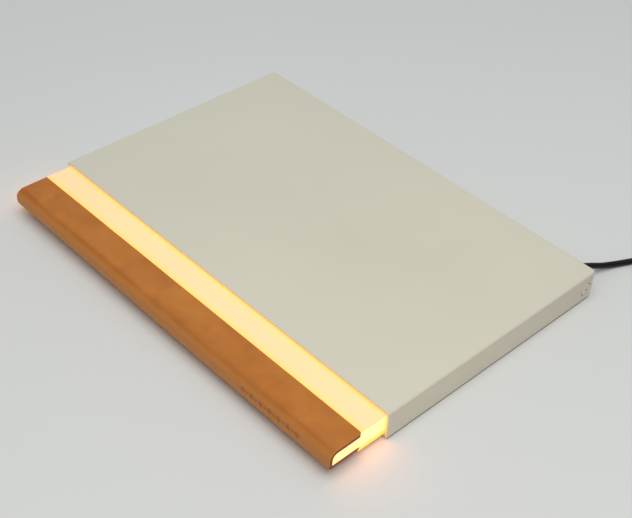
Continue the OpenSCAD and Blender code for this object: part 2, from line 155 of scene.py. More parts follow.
class StageSettings(bpy.types.PropertyGroup):
    """Floor, light and camera"""

    lens: FloatProperty(name="Lens", description="Focal length", default=69.4, unit="CAMERA")
    azimuth: FloatProperty(
        name="Azimuth", description="Camera's turn round the lamp", default=math.radians(44.68),
        subtype="ANGLE",
    )
    elevation: FloatProperty(
        name="Elevation", description="Camera's height angle", default=math.radians(39.93), subtype="ANGLE"
    )
    roll: FloatProperty(
        name="Roll", description="Camera's tilt", default=math.radians(3.47), subtype="ANGLE"
    )
    floor: FloatVectorProperty(
        name="Floor", description="Colour of the floor", subtype="COLOR", size=3, min=0, max=1,
        default=(0.76, 0.805, 0.815),
    )
    sky_strength: FloatProperty(name="Sky", description="Brightness of the even light", default=0.42, min=0)
    fill_power: FloatProperty(
        name="Fill", description="Power of the warm light", default=0.13, min=0, unit="POWER"
    )
    key_power: FloatProperty(
        name="Key", description="Power of the overhead light", default=13.0, min=0, unit="POWER"
    )


SETTINGS = {
    "lamp_case": CaseSettings,
    "lamp_block": BlockSettings,
    "lamp_leather": LeatherSettings,
    "lamp_cord": CordSettings,
    "lamp_stage": StageSettings,
}


# ---------------------------------------------------------------- mesh helpers

MERGE = 0.001

def new_piece(name, points, faces):
    """A mesh object in the lamp's frame, from points in metres."""
    mesh = bpy.data.meshes.new(name)
    mesh.from_pydata([tuple(p) for p in points], [], faces)
    piece = bpy.data.objects.new(name, mesh)
    bpy.context.scene.collection.objects.link(piece)
    return piece


def turn_outwards(piece):
    """Merges doubles and points every face outwards."""
    work = bmesh.new()
    work.from_mesh(piece.data)
    bmesh.ops.remove_doubles(work, verts=work.verts, dist=MERGE * MM)
    bmesh.ops.recalc_face_normals(work, faces=work.faces)
    work.to_mesh(piece.data)
    work.free()


def apply_stack(piece):
    """Replaces a piece's mesh with what its modifiers make of it."""
    bpy.context.view_layer.update()
    graph = bpy.context.evaluated_depsgraph_get()
    made = bpy.data.meshes.new_from_object(piece.evaluated_get(graph))
    piece.modifiers.clear()
    piece.data = made
    made.name = piece.name


def remove_piece(piece):
    """Removes a helper piece and its mesh."""
    mesh = piece.data
    bpy.data.objects.remove(piece)
    bpy.data.meshes.remove(mesh)


def smooth(piece):
    """Shades every face smooth."""
    for face in piece.data.polygons:
        face.use_smooth = True


def box_piece(name, low, high):
    """A box between two corners."""
    points = [(x, y, z) for x in (low[0], high[0]) for y in (low[1], high[1]) for z in (low[2], high[2])]
    faces = [(0, 1, 3, 2), (4, 6, 7, 5), (0, 4, 5, 1), (2, 3, 7, 6), (0, 2, 6, 4), (1, 5, 7, 3)]
    piece = new_piece(name, points, faces)
    turn_outwards(piece)
    return piece


def prism(name, outline, x_left, x_right):
    """A bar along X with an outline of (y, z) points."""
    count = len(outline)
    points = [(x, y, z) for x in (x_left, x_right) for y, z in outline]
    faces = [tuple(range(count)), tuple(range(2 * count - 1, count - 1, -1))]
    faces += [(i, (i + 1) % count, count + (i + 1) % count, count + i) for i in range(count)]
    piece = new_piece(name, points, faces)
    turn_outwards(piece)
    return piece


def carve(piece, cutters):
    """Cuts closed helper pieces out of a piece, then removes them."""
    for cutter in cutters:
        cut = piece.modifiers.new("cut", "BOOLEAN")
        cut.operation = "DIFFERENCE"
        cut.solver = "EXACT"
        cut.object = cutter
        apply_stack(piece)
        remove_piece(cutter)


def round_edges(piece, width, segments=2, angle=50):
    """A live bevel on every edge sharper than the angle."""
    bevel = piece.modifiers.new("rounded edges", "BEVEL")
    bevel.width = width
    bevel.segments = segments
    bevel.limit_method = "ANGLE"
    bevel.angle_limit = math.radians(angle)
    bevel.harden_normals = True
    bevel.miter_outer = "MITER_ARC"
    smooth(piece)


def turned(name, profile, place, steps):
    """A turned piece: a profile of (radius, height) from top to bottom, spun, then put in place."""
    points = [(radius, 0, height) for radius, height in profile]
    piece = new_piece(name, points, [])
    piece.data.edges.add(len(points) - 1)
    for i, edge in enumerate(piece.data.edges):
        edge.vertices = (i, i + 1)
    spin = piece.modifiers.new("spin", "SCREW")
    spin.steps = steps
    spin.render_steps = steps
    spin.use_merge_vertices = True
    spin.merge_threshold = MERGE * MM
    apply_stack(piece)
    piece.data.transform(place)
    turn_outwards(piece)
    smooth(piece)
    return piece


def settle(piece, body, material, nodes=()):
    """Gives a finished piece its body and material, and hides the CAD nodes that it stands for."""
    if material is not None:
        piece.data.materials.clear()
        piece.data.materials.append(material)
    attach(piece, body)
    if nodes:
        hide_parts(*nodes)


def arc(centre_y, centre_z, radius, start, end, steps):
    """Points (y, z) along an arc, with angles in degrees."""
    turns = [math.radians(start + (end - start) * i / steps) for i in range(steps + 1)]
    return [(centre_y + radius * math.cos(t), centre_z + radius * math.sin(t)) for t in turns]


def eased(value):
    """Smooth step from 0 to 1."""
    value = min(max(value, 0.0), 1.0)
    return value * value * (3 - 2 * value)


# ---------------------------------------------------------------- materials


def new_tree(name):
    """An empty node tree in a new material."""
    material = bpy.data.materials.new(name)
    material.use_nodes = True
    material.node_tree.nodes.clear()
    return material, material.node_tree.nodes, material.node_tree.links


def lay_out(nodes, groups):
    """Puts each group of nodes in a labelled frame, in columns from left to right."""
    for column, (label, members) in enumerate(groups):
        holder = nodes.new("NodeFrame")
        holder.label = label
        holder.location = (column * 320, 0)
        for row, node in enumerate(members):
            node.parent = holder
            node.location = (20, -40 - row * 260)


def paint_material(name, colour):
    """Fine powder coat: satin, with a faint orange peel and uneven gloss from handling."""
    material, nodes, links = new_tree(name)
    place = nodes.new("ShaderNodeTexCoord")
    place.label = "Place on the case"
    tone = nodes.new("ShaderNodeTexNoise")
    tone.label = "Cloudy change of tone"
    tone.inputs["Scale"].default_value = 9
    tone.inputs["Detail"].default_value = 3
    tint = nodes.new("ShaderNodeValToRGB")
    tint.label = "Paint colour"
    tint.color_ramp.elements[0].position = 0.3
    tint.color_ramp.elements[1].position = 0.7
    tint.color_ramp.elements[0].color = (*(c * 0.975 for c in colour), 1)
    tint.color_ramp.elements[1].color = (*(min(c * 1.02, 1) for c in colour), 1)
    smudge = nodes.new("ShaderNodeTexNoise")
    smudge.label = "Handled patches"
    smudge.inputs["Scale"].default_value = 26
    smudge.inputs["Detail"].default_value = 5
    smudge.inputs["Roughness"].default_value = 0.65
    gloss = nodes.new("ShaderNodeMapRange")
    gloss.label = "Satin to slightly polished"
    gloss.inputs["To Min"].default_value = 0.5
    gloss.inputs["To Max"].default_value = 0.62
    peel = nodes.new("ShaderNodeTexNoise")
    peel.label = "Orange peel"
    peel.inputs["Scale"].default_value = 1500
    peel.inputs["Detail"].default_value = 2
    relief = nodes.new("ShaderNodeBump")
    relief.label = "Powder coat relief"
    relief.inputs["Strength"].default_value = 0.12
    relief.inputs["Distance"].default_value = 0.05 * MM
    surface = nodes.new("ShaderNodeBsdfPrincipled")
    surface.label = "Painted metal"
    surface.inputs["Specular IOR Level"].default_value = 0.35
    output = nodes.new("ShaderNodeOutputMaterial")
    output.label = "Surface"
    links.new(place.outputs["Object"], tone.inputs["Vector"])
    links.new(place.outputs["Object"], smudge.inputs["Vector"])
    links.new(place.outputs["Object"], peel.inputs["Vector"])
    links.new(tone.outputs["Fac"], tint.inputs["Fac"])
    links.new(tint.outputs["Color"], surface.inputs["Base Color"])
    links.new(smudge.outputs["Fac"], gloss.inputs["Value"])
    links.new(gloss.outputs["Result"], surface.inputs["Roughness"])
    links.new(peel.outputs["Fac"], relief.inputs["Height"])
    links.new(relief.outputs["Normal"], surface.inputs["Normal"])
    links.new(surface.outputs["BSDF"], output.inputs["Surface"])
    lay_out(nodes, [
        ("Place", [place]), ("Colour", [tone, tint]), ("Gloss", [smudge, gloss]),
        ("Relief", [peel, relief]), ("Shader", [surface, output]),
    ])
    return material


def plastic_material(name, colour, rough=(0.38, 0.52), grain=900):
    """Moulded plastic or rubber: a fine spark-eroded grain and slightly uneven gloss."""
    material, nodes, links = new_tree(name)
    place = nodes.new("ShaderNodeTexCoord")
    place.label = "Place on the part"
    flow = nodes.new("ShaderNodeTexNoise")
    flow.label = "Flow of the moulding"
    flow.inputs["Scale"].default_value = 60
    flow.inputs["Detail"].default_value = 4
    tint = nodes.new("ShaderNodeValToRGB")
    tint.label = "Plastic colour"
    tint.color_ramp.elements[0].color = (*(c * 0.85 for c in colour), 1)
    tint.color_ramp.elements[1].color = (*(min(c * 1.15, 1) for c in colour), 1)
    gloss = nodes.new("ShaderNodeMapRange")
    gloss.label = "Uneven gloss"
    gloss.inputs["To Min"].default_value = rough[0]
    gloss.inputs["To Max"].default_value = rough[1]
    pits = nodes.new("ShaderNodeTexNoise")
    pits.label = "Mould grain"
    pits.inputs["Scale"].default_value = grain
    pits.inputs["Detail"].default_value = 2
    relief = nodes.new("ShaderNodeBump")
    relief.label = "Grain relief"
    relief.inputs["Strength"].default_value = 0.35
    relief.inputs["Distance"].default_value = 0.03 * MM
    surface = nodes.new("ShaderNodeBsdfPrincipled")
    surface.label = "Plastic"
    output = nodes.new("ShaderNodeOutputMaterial")
    output.label = "Surface"
    links.new(place.outputs["Object"], flow.inputs["Vector"])
    links.new(place.outputs["Object"], pits.inputs["Vector"])
    links.new(flow.outputs["Fac"], tint.inputs["Fac"])
    links.new(tint.outputs["Color"], surface.inputs["Base Color"])
    links.new(flow.outputs["Fac"], gloss.inputs["Value"])
    links.new(gloss.outputs["Result"], surface.inputs["Roughness"])
    links.new(pits.outputs["Fac"], relief.inputs["Height"])
    links.new(relief.outputs["Normal"], surface.inputs["Normal"])
    links.new(surface.outputs["BSDF"], output.inputs["Surface"])
    lay_out(nodes, [
        ("Place", [place]), ("Colour and gloss", [flow, tint, gloss]), ("Relief", [pits, relief]),
        ("Shader", [surface, output]),
    ])
    return material


def metal_material(name, colour, rough=(0.22, 0.38), stretch=(4, 900, 900)):
    """Brushed or plated metal: fine lines along X and small gloss changes."""
    material, nodes, links = new_tree(name)
    place = nodes.new("ShaderNodeTexCoord")
    place.label = "Place on the part"
    along = nodes.new("ShaderNodeMapping")
    along.label = "Drawn out along the brushing"
    along.inputs["Scale"].default_value = stretch
    lines = nodes.new("ShaderNodeTexNoise")
    lines.label = "Brush lines"
    lines.inputs["Scale"].default_value = 1
    lines.inputs["Detail"].default_value = 4
    tint = nodes.new("ShaderNodeValToRGB")
    tint.label = "Metal colour"
    tint.color_ramp.elements[0].color = (*(c * 0.88 for c in colour), 1)
    tint.color_ramp.elements[1].color = (*colour, 1)
    gloss = nodes.new("ShaderNodeMapRange")
    gloss.label = "Gloss across the lines"
    gloss.inputs["To Min"].default_value = rough[0]
    gloss.inputs["To Max"].default_value = rough[1]
    relief = nodes.new("ShaderNodeBump")
    relief.label = "Line relief"
    relief.inputs["Strength"].default_value = 0.2
    relief.inputs["Distance"].default_value = 0.02 * MM
    surface = nodes.new("ShaderNodeBsdfPrincipled")
    surface.label = "Metal"
    surface.inputs["Metallic"].default_value = 1
    output = nodes.new("ShaderNodeOutputMaterial")
    output.label = "Surface"
    links.new(place.outputs["Object"], along.inputs["Vector"])
    links.new(along.outputs["Vector"], lines.inputs["Vector"])
    links.new(lines.outputs["Fac"], tint.inputs["Fac"])
    links.new(lines.outputs["Fac"], gloss.inputs["Value"])
    links.new(lines.outputs["Fac"], relief.inputs["Height"])
    links.new(tint.outputs["Color"], surface.inputs["Base Color"])
    links.new(gloss.outputs["Result"], surface.inputs["Roughness"])
    links.new(relief.outputs["Normal"], surface.inputs["Normal"])
    links.new(surface.outputs["BSDF"], output.inputs["Surface"])
    lay_out(nodes, [
        ("Place", [place, along]), ("Brushing", [lines, tint, gloss, relief]), ("Shader", [surface, output]),
    ])
    return material


def cloth_material(name, colour, scale):
    """Felt or looped tape: soft fibres with a light sheen."""
    material, nodes, links = new_tree(name)
    place = nodes.new("ShaderNodeTexCoord")
    place.label = "Place on the cloth"
    fibres = nodes.new("ShaderNodeTexNoise")
    fibres.label = "Tangled fibres"
    fibres.inputs["Scale"].default_value = scale
    fibres.inputs["Detail"].default_value = 6
    fibres.inputs["Roughness"].default_value = 0.7
    fibres.inputs["Distortion"].default_value = 1.5
    tint = nodes.new("ShaderNodeValToRGB")
    tint.label = "Fibre colour"
    tint.color_ramp.elements[0].position = 0.3
    tint.color_ramp.elements[1].position = 0.75
    tint.color_ramp.elements[0].color = (*(c * 0.6 for c in colour), 1)
    tint.color_ramp.elements[1].color = (*(min(c * 1.4, 1) for c in colour), 1)
    relief = nodes.new("ShaderNodeBump")
    relief.label = "Pile"
    relief.inputs["Strength"].default_value = 0.8
    relief.inputs["Distance"].default_value = 0.15 * MM
    surface = nodes.new("ShaderNodeBsdfPrincipled")
    surface.label = "Cloth"
    surface.inputs["Roughness"].default_value = 0.9
    surface.inputs["Sheen Weight"].default_value = 0.3
    output = nodes.new("ShaderNodeOutputMaterial")
    output.label = "Surface"
    links.new(place.outputs["Object"], fibres.inputs["Vector"])
    links.new(fibres.outputs["Fac"], tint.inputs["Fac"])
    links.new(fibres.outputs["Fac"], relief.inputs["Height"])
    links.new(tint.outputs["Color"], surface.inputs["Base Color"])
    links.new(relief.outputs["Normal"], surface.inputs["Normal"])
    links.new(surface.outputs["BSDF"], output.inputs["Surface"])
    lay_out(nodes, [
        ("Place", [place]), ("Fibres", [fibres, tint, relief]), ("Shader", [surface, output]),
    ])
    return material


def leather_material(name, colour):
    """Waxed vegetable-tanned leather: mottled tan, fine pores, darker over the upper bend with painted shade
    in its creases, and painted light and reflection that pale the spine face.
    """
    material, nodes, links = new_tree(name)
    place = nodes.new("ShaderNodeTexCoord")
    place.label = "Place on the spine"
    mottle = nodes.new("ShaderNodeTexNoise")
    mottle.label = "Uneven dye"
    mottle.inputs["Scale"].default_value = 38
    mottle.inputs["Detail"].default_value = 6
    mottle.inputs["Roughness"].default_value = 0.62
    mottle.inputs["Distortion"].default_value = 0.6
    dye = nodes.new("ShaderNodeValToRGB")
    dye.label = "Tan dye"
    dye.color_ramp.elements[0].position = 0.32
    dye.color_ramp.elements[1].position = 0.7
    dye.color_ramp.elements[0].color = (colour[0] * 0.86, colour[1] * 0.8, colour[2] * 0.78, 1)
    dye.color_ramp.elements[1].color = (colour[0] * 1.08, colour[1] * 1.1, colour[2] * 1.14, 1)
    bend = nodes.new("ShaderNodeAttribute")
    bend.label = "Where the leather is bent"
    bend.attribute_name = "bend"
    # Darker over the upper bend, and painted shade in its creases
    darken = nodes.new("ShaderNodeMix")
    darken.label = "Darker over the upper bend, painted shade in its creases"
    darken.data_type = "RGBA"
    darken.blend_type = "MULTIPLY"
    darken.inputs["B"].default_value = (0.8, 0.74, 0.62, 1)
    spine_light = nodes.new("ShaderNodeAttribute")
    spine_light.label = "Spine face that catches more light"
    spine_light.attribute_name = "spine"
    # Painted light and reflection: the spine face is made paler and greyer because it catches more light
    # from the front and reflects the floor
    pale = nodes.new("ShaderNodeMix")
    pale.label = "Painted light and reflection on the spine face"
    pale.data_type = "RGBA"
    pale.blend_type = "MIX"
    pale.inputs["B"].default_value = (colour[0] * 0.98, colour[1] * 1.02, colour[2] * 1.24, 1)
    pressed = nodes.new("ShaderNodeAttribute")
    pressed.label = "Where the hot tool pressed"
    pressed.attribute_name = "pressed"
    scorch = nodes.new("ShaderNodeMix")
    scorch.label = "Darkened by the hot tool"
    scorch.data_type = "RGBA"
    scorch.blend_type = "MULTIPLY"
    scorch.inputs["B"].default_value = (0.78, 0.68, 0.62, 1)
    pores = nodes.new("ShaderNodeTexVoronoi")
    pores.label = "Pores"
    pores.inputs["Scale"].default_value = 2600
    creases = nodes.new("ShaderNodeTexNoise")
    creases.label = "Fine creases"
    creases.inputs["Scale"].default_value = 420
    creases.inputs["Detail"].default_value = 7
    creases.inputs["Roughness"].default_value = 0.6
    pore_relief = nodes.new("ShaderNodeBump")
    pore_relief.label = "Pore relief"
    pore_relief.inputs["Strength"].default_value = 0.25
    pore_relief.inputs["Distance"].default_value = 0.06 * MM
    crease_relief = nodes.new("ShaderNodeBump")
    crease_relief.label = "Crease relief"
    crease_relief.inputs["Strength"].default_value = 0.35
    crease_relief.inputs["Distance"].default_value = 0.12 * MM
    gloss = nodes.new("ShaderNodeMapRange")
    gloss.label = "Waxed to dry"
    gloss.inputs["To Min"].default_value = 0.42
    gloss.inputs["To Max"].default_value = 0.66
    surface = nodes.new("ShaderNodeBsdfPrincipled")
    surface.label = "Leather"
    surface.inputs["Specular IOR Level"].default_value = 0.28
    surface.inputs["Sheen Weight"].default_value = 0.04
    output = nodes.new("ShaderNodeOutputMaterial")
    output.label = "Surface"
    links.new(place.outputs["Object"], mottle.inputs["Vector"])
    links.new(place.outputs["Object"], pores.inputs["Vector"])
    links.new(place.outputs["Object"], creases.inputs["Vector"])
    links.new(mottle.outputs["Fac"], dye.inputs["Fac"])
    links.new(dye.outputs["Color"], darken.inputs["A"])
    links.new(bend.outputs["Fac"], darken.inputs["Factor"])
    links.new(darken.outputs["Result"], pale.inputs["A"])
    links.new(spine_light.outputs["Fac"], pale.inputs["Factor"])
    links.new(pale.outputs["Result"], scorch.inputs["A"])
    links.new(pressed.outputs["Fac"], scorch.inputs["Factor"])
    links.new(scorch.outputs["Result"], surface.inputs["Base Color"])
    links.new(mottle.outputs["Fac"], gloss.inputs["Value"])
    links.new(gloss.outputs["Result"], surface.inputs["Roughness"])
    links.new(pores.outputs["Distance"], pore_relief.inputs["Height"])
    links.new(creases.outputs["Fac"], crease_relief.inputs["Height"])
    links.new(pore_relief.outputs["Normal"], crease_relief.inputs["Normal"])
    links.new(crease_relief.outputs["Normal"], surface.inputs["Normal"])
    links.new(surface.outputs["BSDF"], output.inputs["Surface"])
    lay_out(nodes, [
        ("Place", [place]), ("Dye", [mottle, dye, gloss]), ("Painted shade and light", [bend, darken, spine_light, pale]),
        ("Tooling", [pressed, scorch]), ("Grain", [pores, creases, pore_relief, crease_relief]),
        ("Shader", [surface, output]),
    ])
    return material


def edge_material(name, colour):
    """Burnished cut edge: compressed fibres in thin layers, dark and slightly polished."""
    material, nodes, links = new_tree(name)
    place = nodes.new("ShaderNodeTexCoord")
    place.label = "Place on the edge"
    layers = nodes.new("ShaderNodeTexNoise")
    layers.label = "Pressed fibres"
    layers.inputs["Scale"].default_value = 800
    layers.inputs["Detail"].default_value = 5
    tint = nodes.new("ShaderNodeValToRGB")
    tint.label = "Edge dye"
    tint.color_ramp.elements[0].color = (*(c * 0.6 for c in colour), 1)
    tint.color_ramp.elements[1].color = (*(min(c * 1.7, 1) for c in colour), 1)
    relief = nodes.new("ShaderNodeBump")
    relief.label = "Fibre relief"
    relief.inputs["Strength"].default_value = 0.4
    relief.inputs["Distance"].default_value = 0.08 * MM
    surface = nodes.new("ShaderNodeBsdfPrincipled")
    surface.label = "Burnished edge"
    surface.inputs["Roughness"].default_value = 0.45
    output = nodes.new("ShaderNodeOutputMaterial")
    output.label = "Surface"
    links.new(place.outputs["Object"], layers.inputs["Vector"])
    links.new(layers.outputs["Fac"], tint.inputs["Fac"])
    links.new(layers.outputs["Fac"], relief.inputs["Height"])
    links.new(tint.outputs["Color"], surface.inputs["Base Color"])
    links.new(relief.outputs["Normal"], surface.inputs["Normal"])
    links.new(surface.outputs["BSDF"], output.inputs["Surface"])
    lay_out(nodes, [
        ("Place", [place]), ("Fibres", [layers, tint, relief]), ("Shader", [surface, output]),
    ])
    return material


# Painted shade: tint that deepens the lit skin's colour where the leather and the case's mouth shade it, and
# how far that reaches from the leather's edge in millimetres
PAINTED_SHADE_TINT = (1, 1.05, 0.35, 1)
LEATHER_SHADE_REACH = 6.5


def glow_material(name, body, glow, strength, end_glow, end_strength, half_length):
    """Lit opal plastic: satin skin that glows, more strongly on its two ends, with painted shade that
    deepens its colour next to the leather and the case's mouth.
    """
    material, nodes, links = new_tree(name)
    place = nodes.new("ShaderNodeTexCoord")
    place.label = "Place on the block"
    axes = nodes.new("ShaderNodeSeparateXYZ")
    axes.label = "Distance along the block"
    side = nodes.new("ShaderNodeMath")
    side.label = "Distance from the middle"
    side.operation = "ABSOLUTE"
    ends = nodes.new("ShaderNodeMapRange")
    ends.label = "0 on the skin, 1 on the end faces"
    ends.inputs["From Min"].default_value = half_length - 0.45 * MM
    ends.inputs["From Max"].default_value = half_length - 0.05 * MM
    tint = nodes.new("ShaderNodeMix")
    tint.label = "Skin glow to end glow"
    tint.data_type = "RGBA"
    tint.inputs["A"].default_value = (*glow, 1)
    tint.inputs["B"].default_value = (*end_glow, 1)
    # Painted shade: where the leather or the case's mouth hems the skin in, its glow and its skin are tinted
    # deeper
    near = nodes.new("ShaderNodeAmbientOcclusion")
    near.label = "How open the skin is"
    near.samples = 8
    near.inputs["Distance"].default_value = 8 * MM
    occlusion_shade = nodes.new("ShaderNodeMapRange")
    occlusion_shade.label = "Next to the leather or the case"
    occlusion_shade.inputs["From Min"].default_value = 0.98
    occlusion_shade.inputs["From Max"].default_value = 0.6
    across = nodes.new("ShaderNodeMapRange")
    across.label = "Next to the leather's edge"
    across.interpolation_type = "SMOOTHSTEP"
    across.inputs["From Min"].default_value = LEATHER_HIGH.y + LEATHER_SHADE_REACH * MM
    across.inputs["From Max"].default_value = LEATHER_HIGH.y
    across.inputs["To Max"].default_value = 0.85
    skin = nodes.new("ShaderNodeMath")
    skin.label = "Not on the end faces"
    skin.operation = "SUBTRACT"
    skin.inputs[0].default_value = 1
    along = nodes.new("ShaderNodeMath")
    along.label = "Line along the leather"
    along.operation = "MULTIPLY"
    corners = nodes.new("ShaderNodeMath")
    corners.label = "All the painted shade"
    corners.operation = "MAXIMUM"
    # Painted shade on the glow colour
    shade_tinted_glow = nodes.new("ShaderNodeMix")
    shade_tinted_glow.label = "Painted shade on the glow in the corners"
    shade_tinted_glow.data_type = "RGBA"
    shade_tinted_glow.blend_type = "MULTIPLY"
    shade_tinted_glow.inputs["B"].default_value = PAINTED_SHADE_TINT
    # Painted shade on the skin's own colour along the leather's edge
    shaded_skin = nodes.new("ShaderNodeMix")
    shaded_skin.label = "Painted shade on the skin by the leather"
    shaded_skin.data_type = "RGBA"
    shaded_skin.blend_type = "MULTIPLY"
    shaded_skin.inputs["A"].default_value = (*body, 1)
    shaded_skin.inputs["B"].default_value = PAINTED_SHADE_TINT
    power = nodes.new("ShaderNodeMapRange")
    power.label = "Brighter end faces"
    power.inputs["To Min"].default_value = strength
    power.inputs["To Max"].default_value = end_strength
    far = nodes.new("ShaderNodeMapRange")
    far.label = "Weaker towards the far end"
    far.inputs["From Min"].default_value = -half_length
    far.inputs["From Max"].default_value = -half_length / 3
    far.inputs["To Min"].default_value = 0.93
    far.inputs["To Max"].default_value = 1
    cloud = nodes.new("ShaderNodeTexNoise")
    cloud.label = "Slightly uneven light"
    cloud.inputs["Scale"].default_value = 22
    cloud.inputs["Detail"].default_value = 2
    spread = nodes.new("ShaderNodeMapRange")
    spread.label = "Range of the unevenness"
    spread.inputs["To Min"].default_value = 0.95
    spread.inputs["To Max"].default_value = 1.05
    level = nodes.new("ShaderNodeMath")
    level.label = "Light level"
    level.operation = "MULTIPLY"
    dimmed = nodes.new("ShaderNodeMath")
    dimmed.label = "Light level along the block"
    dimmed.operation = "MULTIPLY"
    haze = nodes.new("ShaderNodeTexNoise")
    haze.label = "Satin haze"
    haze.inputs["Scale"].default_value = 1200
    relief = nodes.new("ShaderNodeBump")
    relief.label = "Satin relief"
    relief.inputs["Strength"].default_value = 0.08
    relief.inputs["Distance"].default_value = 0.03 * MM
    surface = nodes.new("ShaderNodeBsdfPrincipled")
    surface.label = "Lit plastic"
    surface.inputs["Roughness"].default_value = 0.42
    output = nodes.new("ShaderNodeOutputMaterial")
    output.label = "Surface"
    links.new(place.outputs["Object"], axes.inputs["Vector"])
    links.new(axes.outputs["X"], side.inputs[0])
    links.new(side.outputs["Value"], ends.inputs["Value"])
    links.new(ends.outputs["Result"], tint.inputs["Factor"])
    links.new(ends.outputs["Result"], power.inputs["Value"])
    links.new(axes.outputs["X"], far.inputs["Value"])
    links.new(place.outputs["Object"], cloud.inputs["Vector"])
    links.new(cloud.outputs["Fac"], spread.inputs["Value"])
    links.new(power.outputs["Result"], level.inputs[0])
    links.new(spread.outputs["Result"], level.inputs[1])
    links.new(level.outputs["Value"], dimmed.inputs[0])
    links.new(far.outputs["Result"], dimmed.inputs[1])
    links.new(near.outputs["AO"], occlusion_shade.inputs["Value"])
    links.new(axes.outputs["Y"], across.inputs["Value"])
    links.new(ends.outputs["Result"], skin.inputs[1])
    links.new(across.outputs["Result"], along.inputs[0])
    links.new(skin.outputs["Value"], along.inputs[1])
    links.new(occlusion_shade.outputs["Result"], corners.inputs[0])
    links.new(along.outputs["Value"], corners.inputs[1])
    links.new(corners.outputs["Value"], shade_tinted_glow.inputs["Factor"])
    links.new(along.outputs["Value"], shaded_skin.inputs["Factor"])
    links.new(shaded_skin.outputs["Result"], surface.inputs["Base Color"])
    links.new(tint.outputs["Result"], shade_tinted_glow.inputs["A"])
    links.new(shade_tinted_glow.outputs["Result"], surface.inputs["Emission Color"])
    links.new(dimmed.outputs["Value"], surface.inputs["Emission Strength"])
    links.new(place.outputs["Object"], haze.inputs["Vector"])
    links.new(haze.outputs["Fac"], relief.inputs["Height"])
    links.new(relief.outputs["Normal"], surface.inputs["Normal"])
    links.new(surface.outputs["BSDF"], output.inputs["Surface"])
    lay_out(nodes, [
        ("Place", [place, axes, side]), ("Ends", [ends, tint, power]),
        ("Corners", [near, occlusion_shade, across, skin, along, corners, shade_tinted_glow, shaded_skin]),
        ("Evenness", [far, cloud, spread]), ("Light", [level, dimmed]), ("Relief", [haze, relief]),
        ("Shader", [surface, output]),
    ])
    return material


def clear_material(name):
    """Clear acrylic with a faint etched dot pattern that throws the light upwards."""
    material, nodes, links = new_tree(name)
    place = nodes.new("ShaderNodeTexCoord")
    place.label = "Place on the guide"
    dots = nodes.new("ShaderNodeTexVoronoi")
    dots.label = "Etched dots"
    dots.inputs["Scale"].default_value = 700
    dots.inputs["Randomness"].default_value = 0
    relief = nodes.new("ShaderNodeBump")
    relief.label = "Dot relief"
    relief.inputs["Strength"].default_value = 0.5
    relief.inputs["Distance"].default_value = 0.05 * MM
    surface = nodes.new("ShaderNodeBsdfPrincipled")
    surface.label = "Acrylic"
    surface.inputs["Base Color"].default_value = (0.96, 0.98, 1, 1)
    surface.inputs["Roughness"].default_value = 0.08
    surface.inputs["IOR"].default_value = 1.49
    surface.inputs["Transmission Weight"].default_value = 0.9
    output = nodes.new("ShaderNodeOutputMaterial")
    output.label = "Surface"
    links.new(place.outputs["Object"], dots.inputs["Vector"])
    links.new(dots.outputs["Distance"], relief.inputs["Height"])
    links.new(relief.outputs["Normal"], surface.inputs["Normal"])
    links.new(surface.outputs["BSDF"], output.inputs["Surface"])
    lay_out(nodes, [("Place", [place]), ("Dots", [dots, relief]), ("Shader", [surface, output])])
    return material


def floor_material(colour):
    """Matte pale table top."""
    material, nodes, links = new_tree("floor")
    place = nodes.new("ShaderNodeTexCoord")
    place.label = "Place on the floor"
    cloud = nodes.new("ShaderNodeTexNoise")
    cloud.label = "Faint clouding"
    cloud.inputs["Scale"].default_value = 5
    cloud.inputs["Detail"].default_value = 3
    tint = nodes.new("ShaderNodeValToRGB")
    tint.label = "Floor colour"
    tint.color_ramp.elements[0].color = (*(c * 0.985 for c in colour), 1)
    tint.color_ramp.elements[1].color = (*(min(c * 1.015, 1) for c in colour), 1)
    surface = nodes.new("ShaderNodeBsdfPrincipled")
    surface.label = "Matte floor"
    surface.inputs["Roughness"].default_value = 0.75
    surface.inputs["Specular IOR Level"].default_value = 0.25
    output = nodes.new("ShaderNodeOutputMaterial")
    output.label = "Surface"
    links.new(place.outputs["Object"], cloud.inputs["Vector"])
    links.new(cloud.outputs["Fac"], tint.inputs["Fac"])
    links.new(tint.outputs["Color"], surface.inputs["Base Color"])
    links.new(surface.outputs["BSDF"], output.inputs["Surface"])
    lay_out(nodes, [("Place", [place]), ("Colour", [cloud, tint]), ("Shader", [surface, output])])
    return material


# ---------------------------------------------------------------- stage

CAMERA_PLACE = Vector((433.4, -419.8, 500.1)) * MM
KEY_PLACE = Vector((0.42, -0.23, 1.38))
KEY_TARGET = Vector((0, 0, 0))
KEY_SIZE = 1.6
KEY_COLOUR = (1.0, 0.99, 0.96)
FILL_PLACE = Vector((0.5, -0.4, 0.5))
FILL_TARGET = Vector((0.24, -0.2, 0))
FILL_SIZE = 0.3
FILL_COLOUR = (1.0, 0.5, 0.05)
ROOM_COLOUR = (0.95, 0.985, 1.0, 1)
WARM_COLOUR = (0.6, 0.38, 0.3, 1)
WARM_SIDE = (0.97, 0.0, 0.24)
FLOOR_SIZE = 40


def disk_light(name, place, target, size, power, colour):
    """A round soft light aimed at a point."""
    light = bpy.data.lights.new(name, "AREA")
    light.shape = "DISK"
    light.size = size
    light.energy = power
    light.color = colour
    lamp = bpy.data.objects.new(name, light)
    lamp.location = place
    lamp.rotation_euler = (target - place).to_track_quat("-Z", "Y").to_euler()
    bpy.context.scene.collection.objects.link(lamp)


